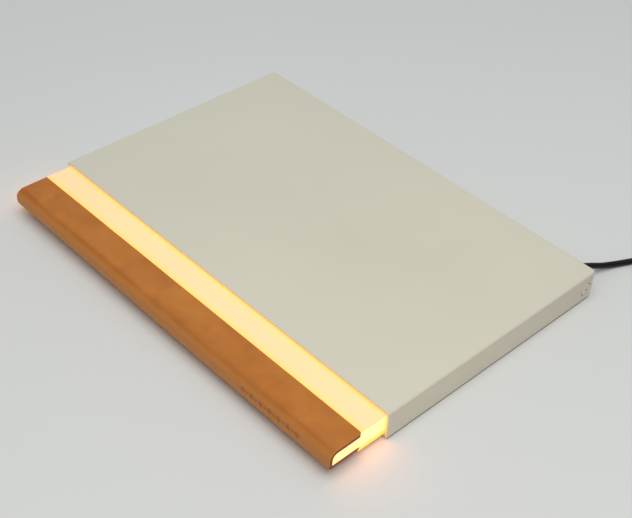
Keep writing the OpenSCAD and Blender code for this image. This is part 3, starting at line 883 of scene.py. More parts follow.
def room_light(strength):
    """Even room light, with a warmer side that lights the case's right wall."""
    world = bpy.data.worlds.new("studio")
    world.use_nodes = True
    nodes, links = world.node_tree.nodes, world.node_tree.links
    nodes.clear()
    direction = nodes.new("ShaderNodeTexCoord")
    direction.label = "Direction of the light"
    towards = nodes.new("ShaderNodeVectorMath")
    towards.label = "How far it comes from the warm side"
    towards.operation = "DOT_PRODUCT"
    towards.inputs[1].default_value = WARM_SIDE
    share = nodes.new("ShaderNodeMapRange")
    share.label = "Share of the warm side"
    share.inputs["From Min"].default_value = 0.1
    share.inputs["From Max"].default_value = 0.9
    tint = nodes.new("ShaderNodeMix")
    tint.label = "Cool room to warm side"
    tint.data_type = "RGBA"
    tint.inputs["A"].default_value = ROOM_COLOUR
    tint.inputs["B"].default_value = WARM_COLOUR
    sky = nodes.new("ShaderNodeBackground")
    sky.label = "Even room light"
    sky.inputs["Strength"].default_value = strength
    output = nodes.new("ShaderNodeOutputWorld")
    output.label = "Room"
    links.new(direction.outputs["Generated"], towards.inputs[0])
    links.new(towards.outputs["Value"], share.inputs["Value"])
    links.new(share.outputs["Result"], tint.inputs["Factor"])
    links.new(tint.outputs["Result"], sky.inputs["Color"])
    links.new(sky.outputs["Background"], output.inputs["Surface"])
    lay_out(nodes, [
        ("Direction", [direction, towards, share]), ("Colour", [tint]), ("Light", [sky, output]),
    ])
    return world


class StageOperator(bpy.types.Operator):
    """Makes the camera, the floor and the soft studio light"""

    bl_idname = "lamp.stage"
    bl_label = "Stage"

    def execute(self, context):
        look = context.scene.lamp_stage
        data = bpy.data.cameras.new("camera")
        data.sensor_width = 36
        data.lens = look.lens
        data.clip_start = 0.01
        data.clip_end = 50
        camera = bpy.data.objects.new("camera", data)
        context.scene.collection.objects.link(camera)
        turn = Matrix.Rotation(look.azimuth, 4, "Z")
        tilt = Matrix.Rotation(math.pi / 2 - look.elevation, 4, "X")
        roll = Matrix.Rotation(look.roll, 4, "Z")
        camera.matrix_world = Matrix.Translation(CAMERA_PLACE) @ turn @ tilt @ roll
        context.scene.camera = camera

        half = FLOOR_SIZE / 2
        corners = [(-half, -half, 0), (half, -half, 0), (half, half, 0), (-half, half, 0)]
        floor = new_piece("floor", corners, [(0, 1, 2, 3)])
        floor.data.materials.append(floor_material(look.floor))

        disk_light("key", KEY_PLACE, KEY_TARGET, KEY_SIZE, look.key_power, KEY_COLOUR)
        disk_light("warm_fill", FILL_PLACE, FILL_TARGET, FILL_SIZE, look.fill_power, FILL_COLOUR)
        context.scene.world = room_light(look.sky_strength)
        context.scene.view_settings.view_transform = "Standard"
        return {"FINISHED"}


# ---------------------------------------------------------------- cord

CORD_STRAIGHT = 4
SHEATH_BLACK = (0.006, 0.0065, 0.007)
# Points in millimetres from the boot to the coil, and from the coil down to the plug
LEAD_ROUTE = (
    (135.2, 121.5, 9.6), (136.4, 126.5, 8.2), (137.8, 132, 6.2), (139.4, 137.5, 4.3), (141.2, 143.5, 2.9),
    (143.6, 149.5, 2.2), (146.6, 156, 2), (149.6, 162.5, 2), (152, 170, 2), (153.5, 179, 2), (154, 189, 2),
)
TAIL_ROUTE = (
    (206, 184, 14), (206, 178, 13.6), (206, 171, 11.4), (206, 164, 8.2), (206, 157, 5.6), (206, 150, 4.3),
    (206, 144, 4),
)
COIL_CENTRE = (183, 190)
# Radii of the turns in each layer, from the lowest up
LAYERS = ((29, 25, 21, 17), (19, 23, 27), (25, 21), (23,))
HALF_TURN = 0.5
# Share of a turn in which the cord moves across to the next turn, and in which it climbs a layer first
CROSSING = 0.17
CLIMB = 0.14
# How far the lowest turns rise where they lie on the tie, and over what angle
TIE_LIFT = 0.9
TIE_SPREAD = 0.5


def coil_points(per_turn, pitch):
    """Points of the coil in millimetres: nine and a half turns, in four layers one diameter apart."""
    radii = [radius for layer in LAYERS for radius in layer]
    heights = [pitch * (number + 0.5) for number, layer in enumerate(LAYERS) for _ in layer]
    radii.append(radii[-1])
    heights.append(heights[-1])
    points = []
    turns = len(radii) - 1 - HALF_TURN
    for i in range(int(per_turn * turns) + 1):
        turn, part = divmod(i / per_turn, 1)
        turn = int(turn)
        outwards = eased((part - (1 - CROSSING)) / CROSSING)
        upwards = eased((part - (1 - CROSSING) + CLIMB) / (CLIMB + CROSSING / 2))
        radius = radii[turn] + (radii[turn + 1] - radii[turn]) * outwards
        height = heights[turn] + (heights[turn + 1] - heights[turn]) * upwards
        angle = math.pi - 2 * math.pi * part
        from_tie = (angle - math.pi / 2) / TIE_SPREAD
        lift = TIE_LIFT * (heights[-1] - height) / (heights[-1] - heights[0])
        height += lift * math.exp(-from_tie * from_tie)
        x = COIL_CENTRE[0] + radius * math.cos(angle)
        y = COIL_CENTRE[1] + radius * math.sin(angle)
        points.append((x, y, height))
    return points


class CordOperator(bpy.types.Operator):
    """Makes the cord: out of the boot, down to the table, into its coil and down to the plug"""

    bl_idname = "lamp.cord"
    bl_label = "Cord"

    def execute(self, context):
        look = context.scene.lamp_cord
        across = (BOOT_LOW + BOOT_HIGH) / 2
        exit_point = (across.x, CASE_HIGH.y, across.z)
        start = [(exit_point[0] / MM, exit_point[1] / MM, exit_point[2] / MM)]
        start.append((start[0][0], start[0][1] + CORD_STRAIGHT, start[0][2]))
        coil = coil_points(look.points_per_turn, look.diameter / MM)
        route = start + list(LEAD_ROUTE) + coil[1:] + list(TAIL_ROUTE)
        data = bpy.data.curves.new("power_cord_sheath", "CURVE")
        data.dimensions = "3D"
        data.resolution_u = 4
        data.bevel_depth = look.diameter / 2
        data.bevel_resolution = 4
        data.use_fill_caps = True
        line = data.splines.new("BEZIER")
        line.bezier_points.add(len(route) - 1)
        for point, place in zip(line.bezier_points, route):
            point.co = Vector(place) * MM
            point.handle_left_type = "AUTO"
            point.handle_right_type = "AUTO"
        cord = bpy.data.objects.new("power_cord_sheath", data)
        context.scene.collection.objects.link(cord)
        settle(
            cord, "case", cord_material("cord_sheath", SHEATH_BLACK),
            ("power_cord", "cord_coil", "plug_lead"),
        )
        return {"FINISHED"}


def cord_material(name, colour):
    """Extruded sheath: satin black with faint drawing lines and a little dust."""
    material, nodes, links = new_tree(name)
    place = nodes.new("ShaderNodeTexCoord")
    place.label = "Place on the cord"
    dust = nodes.new("ShaderNodeTexNoise")
    dust.label = "Dust and handling"
    dust.inputs["Scale"].default_value = 180
    dust.inputs["Detail"].default_value = 6
    tint = nodes.new("ShaderNodeValToRGB")
    tint.label = "Sheath colour"
    tint.color_ramp.elements[0].position = 0.35
    tint.color_ramp.elements[0].color = (*colour, 1)
    tint.color_ramp.elements[1].color = (*(c * 1.9 for c in colour), 1)
    gloss = nodes.new("ShaderNodeMapRange")
    gloss.label = "Gloss under the dust"
    gloss.inputs["To Min"].default_value = 0.3
    gloss.inputs["To Max"].default_value = 0.5
    skin = nodes.new("ShaderNodeTexNoise")
    skin.label = "Extruded skin"
    skin.inputs["Scale"].default_value = 1500
    relief = nodes.new("ShaderNodeBump")
    relief.label = "Skin relief"
    relief.inputs["Strength"].default_value = 0.2
    relief.inputs["Distance"].default_value = 0.03 * MM
    surface = nodes.new("ShaderNodeBsdfPrincipled")
    surface.label = "Sheath"
    surface.inputs["Specular IOR Level"].default_value = 0.25
    output = nodes.new("ShaderNodeOutputMaterial")
    output.label = "Surface"
    links.new(place.outputs["Object"], dust.inputs["Vector"])
    links.new(place.outputs["Object"], skin.inputs["Vector"])
    links.new(dust.outputs["Fac"], tint.inputs["Fac"])
    links.new(dust.outputs["Fac"], gloss.inputs["Value"])
    links.new(skin.outputs["Fac"], relief.inputs["Height"])
    links.new(tint.outputs["Color"], surface.inputs["Base Color"])
    links.new(gloss.outputs["Result"], surface.inputs["Roughness"])
    links.new(relief.outputs["Normal"], surface.inputs["Normal"])
    links.new(surface.outputs["BSDF"], output.inputs["Surface"])
    lay_out(nodes, [
        ("Place", [place]), ("Dust", [dust, tint, gloss]), ("Relief", [skin, relief]),
        ("Shader", [surface, output]),
    ])
    return material


# ---------------------------------------------------------------- slipcase

BOSSES = ((-145.4, 88), (145.4, 88), (-60, 106), (60, 106))
BOSS_RADIUS = 2.7
BUTTON_HOLE_RADIUS = 4.7
CORD_HOLE_RADIUS = 3.05
CASE_BEVEL = 0.22
CORNER_STEPS = 8
EDGE_STEPS = 6


def case_path(inset, radius):
    """Outline of the case seen from above, from the mouth's left end round the back to its right end."""
    left, right = CASE_LOW.x + inset, CASE_HIGH.x - inset
    centre_y = CASE_HIGH.y - radius
    path = [(left, CASE_LOW.y)]
    path += arc(CASE_LOW.x + radius, centre_y, radius - inset, 180, 90, CORNER_STEPS)
    path += arc(CASE_HIGH.x - radius, centre_y, radius - inset, 90, 0, CORNER_STEPS)
    path.append((right, CASE_LOW.y))
    return path


def case_shell(wall, edge_radius, corner_radius):
    """The folded case: rounded top and back edges, a square-cut mouth, hollow inside and open below."""
    levels = [(0, CASE_LOW.z)]
    levels += [
        (edge_radius * (1 - math.cos(t)), CASE_HIGH.z - edge_radius * (1 - math.sin(t)))
        for t in (math.pi / 2 * i / EDGE_STEPS for i in range(EDGE_STEPS + 1))
    ]
    outer = [[(x, y, z) for x, y in case_path(inset, corner_radius)] for inset, z in levels]
    inner = [
        [(x, y, z) for x, y in case_path(wall, corner_radius)] for z in (CASE_LOW.z, CASE_HIGH.z - wall)
    ]
    rings = outer + inner
    count = len(outer[0])
    points = [p for ring in rings for p in ring]
    ring_pairs = [(k, k + 1) for k in range(len(outer) - 1)]
    ring_pairs += [(len(outer), len(outer) + 1), (0, len(outer))]
    faces = []
    for a, b in ring_pairs:
        for i in range(count - 1):
            faces.append((a * count + i, a * count + i + 1, b * count + i + 1, b * count + i))
    top = len(outer) - 1
    ceiling = len(rings) - 1
    faces.append(tuple(top * count + i for i in range(count)))
    faces.append(tuple(ceiling * count + i for i in range(count)))
    last = count - 1
    mouth = [k * count for k in range(len(outer))]
    mouth += [k * count + last for k in range(len(outer) - 1, -1, -1)]
    mouth += [(ceiling - 1) * count + last, ceiling * count + last, ceiling * count, (ceiling - 1) * count]
    faces.append(tuple(mouth))
    shell = new_piece("case_shell", points, faces)
    turn_outwards(shell)
    return shell


def rod(name, start, end, radius, steps):
    """A plain round rod between two points, used to cut holes or as a boss."""
    start, end = Vector(start), Vector(end)
    length = (end - start).length
    place = Matrix.Translation(start) @ (end - start).to_track_quat("Z", "Y").to_matrix().to_4x4()
    return turned(name, [(0, length), (radius, length), (radius, 0), (0, 0)], place, steps)


def join(piece, others):
    """Adds the meshes of other pieces to a piece, then removes them."""
    work = bmesh.new()
    work.from_mesh(piece.data)
    for other in others:
        work.from_mesh(other.data)
        remove_piece(other)
    work.to_mesh(piece.data)
    work.free()


class CaseOperator(bpy.types.Operator):
    """Makes the painted slipcase with its button hole, cord hole and screw bosses"""

    bl_idname = "lamp.case"
    bl_label = "Slipcase"

    def execute(self, context):
        look = context.scene.lamp_case
        shell = case_shell(look.wall, look.edge_radius, look.corner_radius)
        button = (BUTTON_LOW + BUTTON_HIGH) / 2
        boot = (BOOT_LOW + BOOT_HIGH) / 2
        inside = CASE_HIGH.x - look.wall
        carve(shell, [
            rod("cut", (inside - MM, button.y, button.z), (CASE_HIGH.x + MM, button.y, button.z),
                BUTTON_HOLE_RADIUS * MM, 64),
            rod("cut", (boot.x, CASE_HIGH.y - 3 * MM, boot.z), (boot.x, CASE_HIGH.y + MM, boot.z),
                CORD_HOLE_RADIUS * MM, 48),
        ])
        bosses = [
            rod("boss", (x * MM, y * MM, PLATE_LOW.z + look.wall), (x * MM, y * MM, CASE_HIGH.z - look.wall),
                BOSS_RADIUS * MM, 24)
            for x, y in BOSSES
        ]
        join(shell, bosses)
        round_edges(shell, CASE_BEVEL * MM)
        settle(shell, "case", paint_material("case_paint", look.paint), ("top_shell",))
        return {"FINISHED"}


# ---------------------------------------------------------------- push button

BUTTON_RADIUS = 4.25
BUTTON_PROUD = 0.35
BUTTON_RIM = 0.3
FLANGE_RADIUS = 5.2
FLANGE_BACK = 2.6
FLANGE_THICKNESS = 1
STEM_RADIUS = 1.25
PINHOLE_RADIUS = 0.65
PINHOLE_DEPTH = 0.8
PINHOLE_LIP = 0.1
WINDOW_BLACK = (0.012, 0.012, 0.012)


class ButtonOperator(bpy.types.Operator):
    """Makes the push button: a flat disc with a rounded rim and a dark pinhole for its indicator"""

    bl_idname = "lamp.button"
    bl_label = "Push button"

    def execute(self, context):
        centre = (BUTTON_LOW + BUTTON_HIGH) / 2
        face = (BUTTON_HIGH.x - BUTTON_LOW.x) / MM + BUTTON_PROUD
        flange = face - BUTTON_PROUD - FLANGE_BACK
        step = flange + FLANGE_THICKNESS
        profile = [
            (0, face - PINHOLE_DEPTH), (PINHOLE_RADIUS - 0.05, face - PINHOLE_DEPTH),
            (PINHOLE_RADIUS, face - PINHOLE_LIP), (PINHOLE_RADIUS + 0.12, face),
            *arc(BUTTON_RADIUS - BUTTON_RIM, face - BUTTON_RIM, BUTTON_RIM, 90, 0, 5),
            (BUTTON_RADIUS, step), (FLANGE_RADIUS, step), (FLANGE_RADIUS, flange),
            (STEM_RADIUS, flange), (STEM_RADIUS, 0), (0, 0),
        ]
        place = Matrix.Translation((BUTTON_LOW.x, centre.y, centre.z)) @ Matrix.Rotation(math.pi / 2, 4, "Y")
        button = turned("push_button", [(r * MM, h * MM) for r, h in profile], place, 64)
        button.data.set_sharp_from_angle(angle=math.radians(35))
        paint = context.scene.lamp_case.paint
        settle(button, "button", paint_material("button_paint", paint), ("button_cap",))
        button.data.materials.append(plastic_material("indicator_window", WINDOW_BLACK, (0.15, 0.25)))
        for face in button.data.polygons:
            from_axis = math.hypot(face.center.y - centre.y, face.center.z - centre.z)
            if from_axis < PINHOLE_RADIUS * MM and face.center.x > CASE_HIGH.x - 2 * MM:
                face.material_index = 1
        return {"FINISHED"}


# ---------------------------------------------------------------- glowing block

PANEL_WALL = 2
PANEL_TOP_RADIUS = 3.4
PANEL_LOW_RADIUS = 1.2
PANEL_BEVEL = 0.45
PANEL_SKIN = (0.3, 0.32, 0.4)
TRAY_WALL = 1.6
TRAY_FLOOR = 3.4
TRAY_BEVEL = 0.5
TRAY_SKIN = (0.25, 0.2, 0.15)
# Grooves for the two travel stops
GROOVE_PLACES = (-100, 100)
GROOVE_WIDTH = 8
GROOVE_DEPTH = 2.4
GROOVE_START = -59
# Brightness of the tray's skin as a share of its ends' brightness
UNDERSIDE = 0.2


class BlockOperator(bpy.types.Operator):
    """Makes the opal panel and the amber tray under it"""

    bl_idname = "lamp.block"
    bl_label = "Glowing block"

    def execute(self, context):
        look = context.scene.lamp_block
        wall = PANEL_WALL * MM
        top_r, low_r = PANEL_TOP_RADIUS * MM, PANEL_LOW_RADIUS * MM
        outline = [(PANEL_HIGH.y, PANEL_HIGH.z)]
        outline += arc(PANEL_LOW.y + top_r, PANEL_HIGH.z - top_r, top_r, 90, 180, 8)
        outline += arc(PANEL_LOW.y + low_r, PANEL_LOW.z + low_r, low_r, 180, 270, 5)
        outline.append((PANEL_HIGH.y, PANEL_LOW.z))
        panel = prism("opal_panel", outline, PANEL_LOW.x, PANEL_HIGH.x)
        carve(panel, [box_piece(
            "cut", (PANEL_LOW.x + wall, PANEL_LOW.y + 2 * wall, PANEL_LOW.z - wall),
            (PANEL_HIGH.x - wall, PANEL_HIGH.y + wall, PANEL_HIGH.z - wall),
        )])
        round_edges(panel, PANEL_BEVEL * MM, 3)
        settle(panel, "light_block", glow_material(
            "opal_panel", PANEL_SKIN, look.panel_glow, look.panel_strength, look.end_glow,
            look.end_strength, PANEL_HIGH.x,
        ), ("diffuser",))

        tray = box_piece("amber_tray", TRAY_LOW, TRAY_HIGH)
        wall = TRAY_WALL * MM
        cuts = [box_piece(
            "cut", (TRAY_LOW.x + wall, TRAY_LOW.y + wall, TRAY_LOW.z + TRAY_FLOOR * MM),
            (TRAY_HIGH.x - wall, TRAY_HIGH.y - wall, TRAY_HIGH.z + wall),
        )]
        for x in GROOVE_PLACES:
            cuts.append(box_piece(
                "cut", ((x - GROOVE_WIDTH / 2) * MM, GROOVE_START * MM, TRAY_LOW.z - wall),
                ((x + GROOVE_WIDTH / 2) * MM, TRAY_HIGH.y + wall, TRAY_LOW.z + GROOVE_DEPTH * MM),
            ))
        carve(tray, cuts)
        round_edges(tray, TRAY_BEVEL * MM, 3)
        settle(tray, "light_block", glow_material(
            "amber_tray", TRAY_SKIN, look.tray_glow, look.tray_strength * UNDERSIDE, look.tray_glow,
            look.tray_strength, TRAY_HIGH.x,
        ), ("base_tray",))
        return {"FINISHED"}


# ---------------------------------------------------------------- leather spine

TOP_RADIUS = 5.5
LOW_RADIUS_LEFT = 5.8
LOW_RADIUS_RIGHT = 3
TOP_THICKNESS = 2
LOW_THICKNESS = 1.1
CORNER = 2.4
# The lower flap's right end is cut back, below this height
LOW_CUT_BACK = 1.3
LOW_CUT_FROM = 10.5
TOOLING_START = 80
TOOLING_END = 124
TOOLING_COUNT = 7
TOOLING_HEIGHT = 13.2
LOZENGE_WIDE = 2.2
LOZENGE_HIGH = 2
DOT_RADIUS = 0.85
# Middle and spread of the upper bend, measured over the leather from the top flap's edge
BEND_MIDDLE = 21.5
BEND_SPREAD = 3.2
# Height over which the leather thins towards its lower flap
SKIVE_HEIGHT = 5
# Length of spine over which the rounded right corners fade out
CORNER_REACH = 12
# Steps along the spine: where the row is tooled, next to the ends, and elsewhere
TOOLED_STEP = 0.42
TOOLED_MARGIN = 3
END_STEP = 0.4
END_REACH = 4
PLAIN_STEP = 1.5
LEATHER_BEVEL = 0.4
FLESH_BROWN = (0.12, 0.04, 0.014)
# Distances from the flaps' edges of the first rows
NEAR_EDGE = (0, 0.15, 0.4, 0.75, 1.15, 1.6, 2, 2.4, 3)
FLAT_STEPS = 12
BEND_STEPS = 18
SPINE_STEPS = 14


def leather_profile(low_radius):
    """The cover's outer face from its top edge round the spine to its lower edge.

    Each row is (y, z, normal y, normal z), in millimetres.
    """
    low_y, high_y = LEATHER_LOW.y / MM, LEATHER_HIGH.y / MM
    low_z, high_z = LEATHER_LOW.z / MM, LEATHER_HIGH.z / MM
    top_end = high_y - low_y - TOP_RADIUS
    start = NEAR_EDGE[-1]
    rows = [(high_y - d, high_z, 0, 1) for d in NEAR_EDGE]
    rows += [
        (high_y - start - (top_end - start) * i / FLAT_STEPS, high_z, 0, 1) for i in range(1, FLAT_STEPS)
    ]
    for i in range(BEND_STEPS + 1):
        t = math.pi / 2 * (1 + i / BEND_STEPS)
        out_y, out_z = math.cos(t), math.sin(t)
        rows.append((low_y + TOP_RADIUS * (1 + out_y), high_z - TOP_RADIUS * (1 - out_z), out_y, out_z))
    spine_top, spine_low = high_z - TOP_RADIUS, low_z + low_radius
    rows += [
        (low_y, spine_top + (spine_low - spine_top) * i / SPINE_STEPS, -1, 0) for i in range(1, SPINE_STEPS)
    ]
    for i in range(FLAT_STEPS + 1):
        t = math.pi * (1 + i / FLAT_STEPS / 2)
        out_y, out_z = math.cos(t), math.sin(t)
        rows.append((low_y + low_radius * (1 + out_y), low_z + low_radius * (1 + out_z), out_y, out_z))
    low_end = high_y - low_y - low_radius
    rows += [
        (high_y - low_end + (low_end - start) * i / FLAT_STEPS, low_z, 0, -1) for i in range(1, FLAT_STEPS)
    ]
    rows += [(high_y - d, low_z, 0, -1) for d in NEAR_EDGE[::-1]]
    return rows


def leather_columns(left, right):
    """Places along the spine in millimetres: fine steps at the two ends and where the row is tooled."""
    places, x = [], left
    while x < right - 0.05:
        places.append(x)
        if TOOLING_START - TOOLED_MARGIN < x < TOOLING_END + TOOLED_MARGIN:
            x += TOOLED_STEP
        elif min(x - left, right - x) < END_REACH:
            x += END_STEP
        else:
            x += PLAIN_STEP
    places.append(right)
    return places


def tooled(x, z):
    """Depth from 0 to 1 of the pressed row of lozenges and dots on the spine."""
    gap = (TOOLING_END - TOOLING_START) / (TOOLING_COUNT - 1)
    depth = 0
    for i in range(TOOLING_COUNT):
        centre = TOOLING_START + gap * i
        lozenge = abs(x - centre) / LOZENGE_WIDE + abs(z - TOOLING_HEIGHT) / LOZENGE_HIGH
        depth = max(depth, eased((1.15 - lozenge) / 0.3))
        if i + 1 < TOOLING_COUNT:
            dot = math.hypot(x - centre - gap / 2, z - TOOLING_HEIGHT) / DOT_RADIUS
            depth = max(depth, eased((1.2 - dot) / 0.5))
    return depth


def crease(x, left, along):
    """Depth from 0 to 1 of the soft creases on the upper bend, which are deepest near the left end."""
    from_left = x - left
    wander = 0.5 * noise.noise(Vector((x * 0.03, 1.7, 0)))
    first = math.exp(-(((along - 18.5 - 0.065 * from_left - wander) / 0.55) ** 2))
    first *= eased(from_left / 3) * eased((34 - from_left) / 16)
    second = math.exp(-(((along - 20.0 + wander) / 1.1) ** 2))
    second *= 0.5 * eased((noise.noise(Vector((x * 0.02, 6.1, 0))) + 0.15) * 3)
    return max(first, second)


def leather_sheet():
    """The cover's outer face as one sheet, with its right corners rounded."""
    left, right = LEATHER_LOW.x / MM, LEATHER_HIGH.x / MM
    columns = leather_columns(left, right)
    profiles = []
    for x in columns:
        share = eased((x - left) / (right - left) * 1.6 - 0.1)
        profiles.append(leather_profile(LOW_RADIUS_LEFT + (LOW_RADIUS_RIGHT - LOW_RADIUS_LEFT) * share))
    high_y = LEATHER_HIGH.y / MM
    depth = bpy.context.scene.lamp_leather.tooling_depth / MM
    points, bends, spine_light_shares, presses, thicknesses = [], [], [], [], []
    along = 0
    for r in range(len(profiles[0])):
        for c, x in enumerate(columns):
            y, z, out_y, out_z = profiles[c][r]
            if c == 0 and r:
                along += math.hypot(y - profiles[0][r - 1][0], z - profiles[0][r - 1][1])
            cut_back = 0
            from_edge = high_y - y
            if from_edge < CORNER:
                cut_back = CORNER - math.sqrt(CORNER**2 - (CORNER - from_edge) ** 2)
            cut_back = max(cut_back, LOW_CUT_BACK * eased((LOW_CUT_FROM - z) / 4))
            x_here = x - cut_back * eased((x - right + CORNER_REACH) / CORNER_REACH)
            folds = crease(x, left, along)
            pressed = tooled(x, z) if out_y < -0.2 else 0
            out = 0.1 * noise.noise(Vector((x * 0.035, along * 0.12, 0)))
            out += 0.05 * noise.noise(Vector((x * 0.12, along * 0.3, 4)))
            out -= 0.06 + 0.32 * folds + depth * pressed
            points.append((x_here * MM, (y + out_y * out) * MM, (z + out_z * out) * MM))
            turn = math.exp(-(((along - BEND_MIDDLE) / BEND_SPREAD) ** 2))
            # Darker over the upper bend, and painted shade in its creases
            bends.append(min(1, 0.75 * turn + 0.8 * folds))
            # Painted light: share of the spine face that is made paler and greyer
            spine_light_shares.append(eased((-out_y - 0.45) / 0.5))
            presses.append(pressed)
            thin = eased((z - LEATHER_LOW.z / MM) / SKIVE_HEIGHT)
            thicknesses.append((LOW_THICKNESS + (TOP_THICKNESS - LOW_THICKNESS) * thin) / TOP_THICKNESS)
    width = len(columns)
    faces = [
        (r * width + c, (r + 1) * width + c, (r + 1) * width + c + 1, r * width + c + 1)
        for r in range(len(profiles[0]) - 1)
        for c in range(width - 1)
    ]
    sheet = new_piece("leather_cover", points, faces)
    for name, values in (("bend", bends), ("spine", spine_light_shares), ("pressed", presses)):
        layer = sheet.data.attributes.new(name, "FLOAT", "POINT")
        layer.data.foreach_set("value", values)
    skived = sheet.vertex_groups.new(name="thickness")
    for i, share in enumerate(thicknesses):
        skived.add([i], share, "REPLACE")
    return sheet


class LeatherOperator(bpy.types.Operator):
    """Makes the leather cover that wraps round the block's outer edge"""

    bl_idname = "lamp.leather"
    bl_label = "Leather spine"

    def execute(self, context):
        look = context.scene.lamp_leather
        sheet = leather_sheet()
        body = sheet.modifiers.new("thickness", "SOLIDIFY")
        body.thickness = look.thickness
        body.vertex_group = "thickness"
        body.offset = -1
        body.use_even_offset = False
        body.material_offset_rim = 1
        body.material_offset = 2
        tan = leather_material("tan_leather", look.tan)
        settle(sheet, "light_block", tan, ("leather_spine",))
        sheet.data.materials.append(edge_material("burnished_edge", look.burnished))
        sheet.data.materials.append(cloth_material("flesh_side", FLESH_BROWN, 700))
        round_edges(sheet, LEATHER_BEVEL * MM, 3, 60)
        return {"FINISHED"}


# ---------------------------------------------------------------- plug, boot and tie

# The boot from its tip to the case, as (radius, height)
BOOT_PROFILE = (
    (0, 8), (2.25, 8), (2.45, 7.8), (2.55, 7), (2.35, 6.8), (2.35, 6.3), (2.65, 6.1), (2.78, 5.1),
    (2.55, 4.9), (2.55, 4.4), (2.88, 4.2), (3.0, 3.2), (2.8, 3), (2.8, 2.5), (3.12, 2.3), (3.25, 1.5),
    (3.5, 1.2), (3.95, 1.2), (4.15, 1.0), (4.2, 0.8), (4.2, 0), (0, 0),
)
# The strap round the coil, as (y from its middle, z)
STRAP_OUTLINE = (
    (-9.2, 0.02), (9.2, 0.02), (9.9, 1.4), (9.9, 4.2), (7.2, 10.3), (6.42, 10.1), (3.4, 16.8), (-3.4, 16.8),
    (-9.2, 4),
)
STRAP_INSIDE = ((-8.4, 0.8), (8.4, 0.8), (8.4, 4), (2.6, 16.02), (-2.6, 16.02), (-8.4, 4))
STRAP_BEVEL = 0.12
SLEEVE_WALL = 0.35
SLEEVE_BEVEL = 0.14
# The two windows in the plug's sleeve: middles from its axis, half width, and ends from its tip
WINDOW_PLACES = (-2.9, 2.9)
WINDOW_HALF = 1.15
WINDOW_START = 5
WINDOW_END = 7.3
TONGUE_BACK = 0.4
TONGUE_HEIGHT = 2.15
TONGUE_BEVEL = 0.12
# The plug's body, as (distance from the cord's end, half width, half height, squareness)
PLUG_SECTIONS = (
    (0, 2.3, 2.3, 2), (0.4, 2.5, 2.5, 2), (2.4, 2.6, 2.6, 2), (2.8, 2.3, 2.3, 2), (3.6, 2.3, 2.3, 2),
    (4, 2.8, 2.8, 2), (5.4, 2.9, 2.9, 2), (5.8, 2.5, 2.5, 2), (6.6, 2.5, 2.5, 2), (7, 3.1, 3.1, 2),
    (9.2, 3.35, 3.3, 2), (10, 4.2, 3.5, 2.2), (10.8, 5.8, 3.7, 2.6), (12, 6.9, 3.9, 3.4),
    (13.6, 7.3, 4, 4.2), (15.6, 7.45, 4, 4.8), (17.4, 7.45, 4, 5), (17.8, 7.3, 3.65, 5),
    (18.6, 7.3, 3.65, 5), (19, 7.45, 4, 5),
    (20.4, 7.45, 4, 5), (20.8, 7.3, 3.65, 5), (21.6, 7.3, 3.65, 5), (22, 7.45, 4, 5), (23.4, 7.45, 4, 5),
    (23.8, 7.3, 3.65, 5), (24.6, 7.3, 3.65, 5), (25, 7.45, 4, 5), (33.2, 7.5, 4, 5), (33.8, 7.3, 3.8, 5),
    (34, 6.9, 3.4, 5),
)
SECTION_POINTS = 40


def soften(outline, reach, steps=4):
    """Rounds each corner of a closed outline, starting at the given distance from it."""
    made = []
    for i, corner in enumerate(outline):
        corner = Vector(corner)
        before = (Vector(outline[i - 1]) - corner).normalized() * reach
        after = (Vector(outline[(i + 1) % len(outline)]) - corner).normalized() * reach
        for k in range(steps + 1):
            t = k / steps
            made.append(tuple(corner + before * (1 - t) ** 2 + after * t**2))
    return made


def plug_body(centre_x, start_y, centre_z):
    """The moulded plug: a ribbed relief that flares into a flat grip."""
    points, faces = [], []
    for along, half_wide, half_high, squareness in PLUG_SECTIONS:
        for k in range(SECTION_POINTS):
            t = 2 * math.pi * (k + 0.5) / SECTION_POINTS
            wide = math.copysign(abs(math.cos(t)) ** (2 / squareness), math.cos(t)) * half_wide
            high = math.copysign(abs(math.sin(t)) ** (2 / squareness), math.sin(t)) * half_high
            points.append((centre_x + wide * MM, start_y - along * MM, centre_z + high * MM))
    count = SECTION_POINTS
    for ring in range(len(PLUG_SECTIONS) - 1):
        for k in range(count):
            here, there = ring * count, (ring + 1) * count
            faces.append((here + k, here + (k + 1) % count, there + (k + 1) % count, there + k))
    faces.append(tuple(range(count)))
    faces.append(tuple(len(points) - count + k for k in range(count)))
    body = new_piece("plug_grip", points, faces)
    turn_outwards(body)
    smooth(body)
    body.data.set_sharp_from_angle(angle=math.radians(38))
    return body


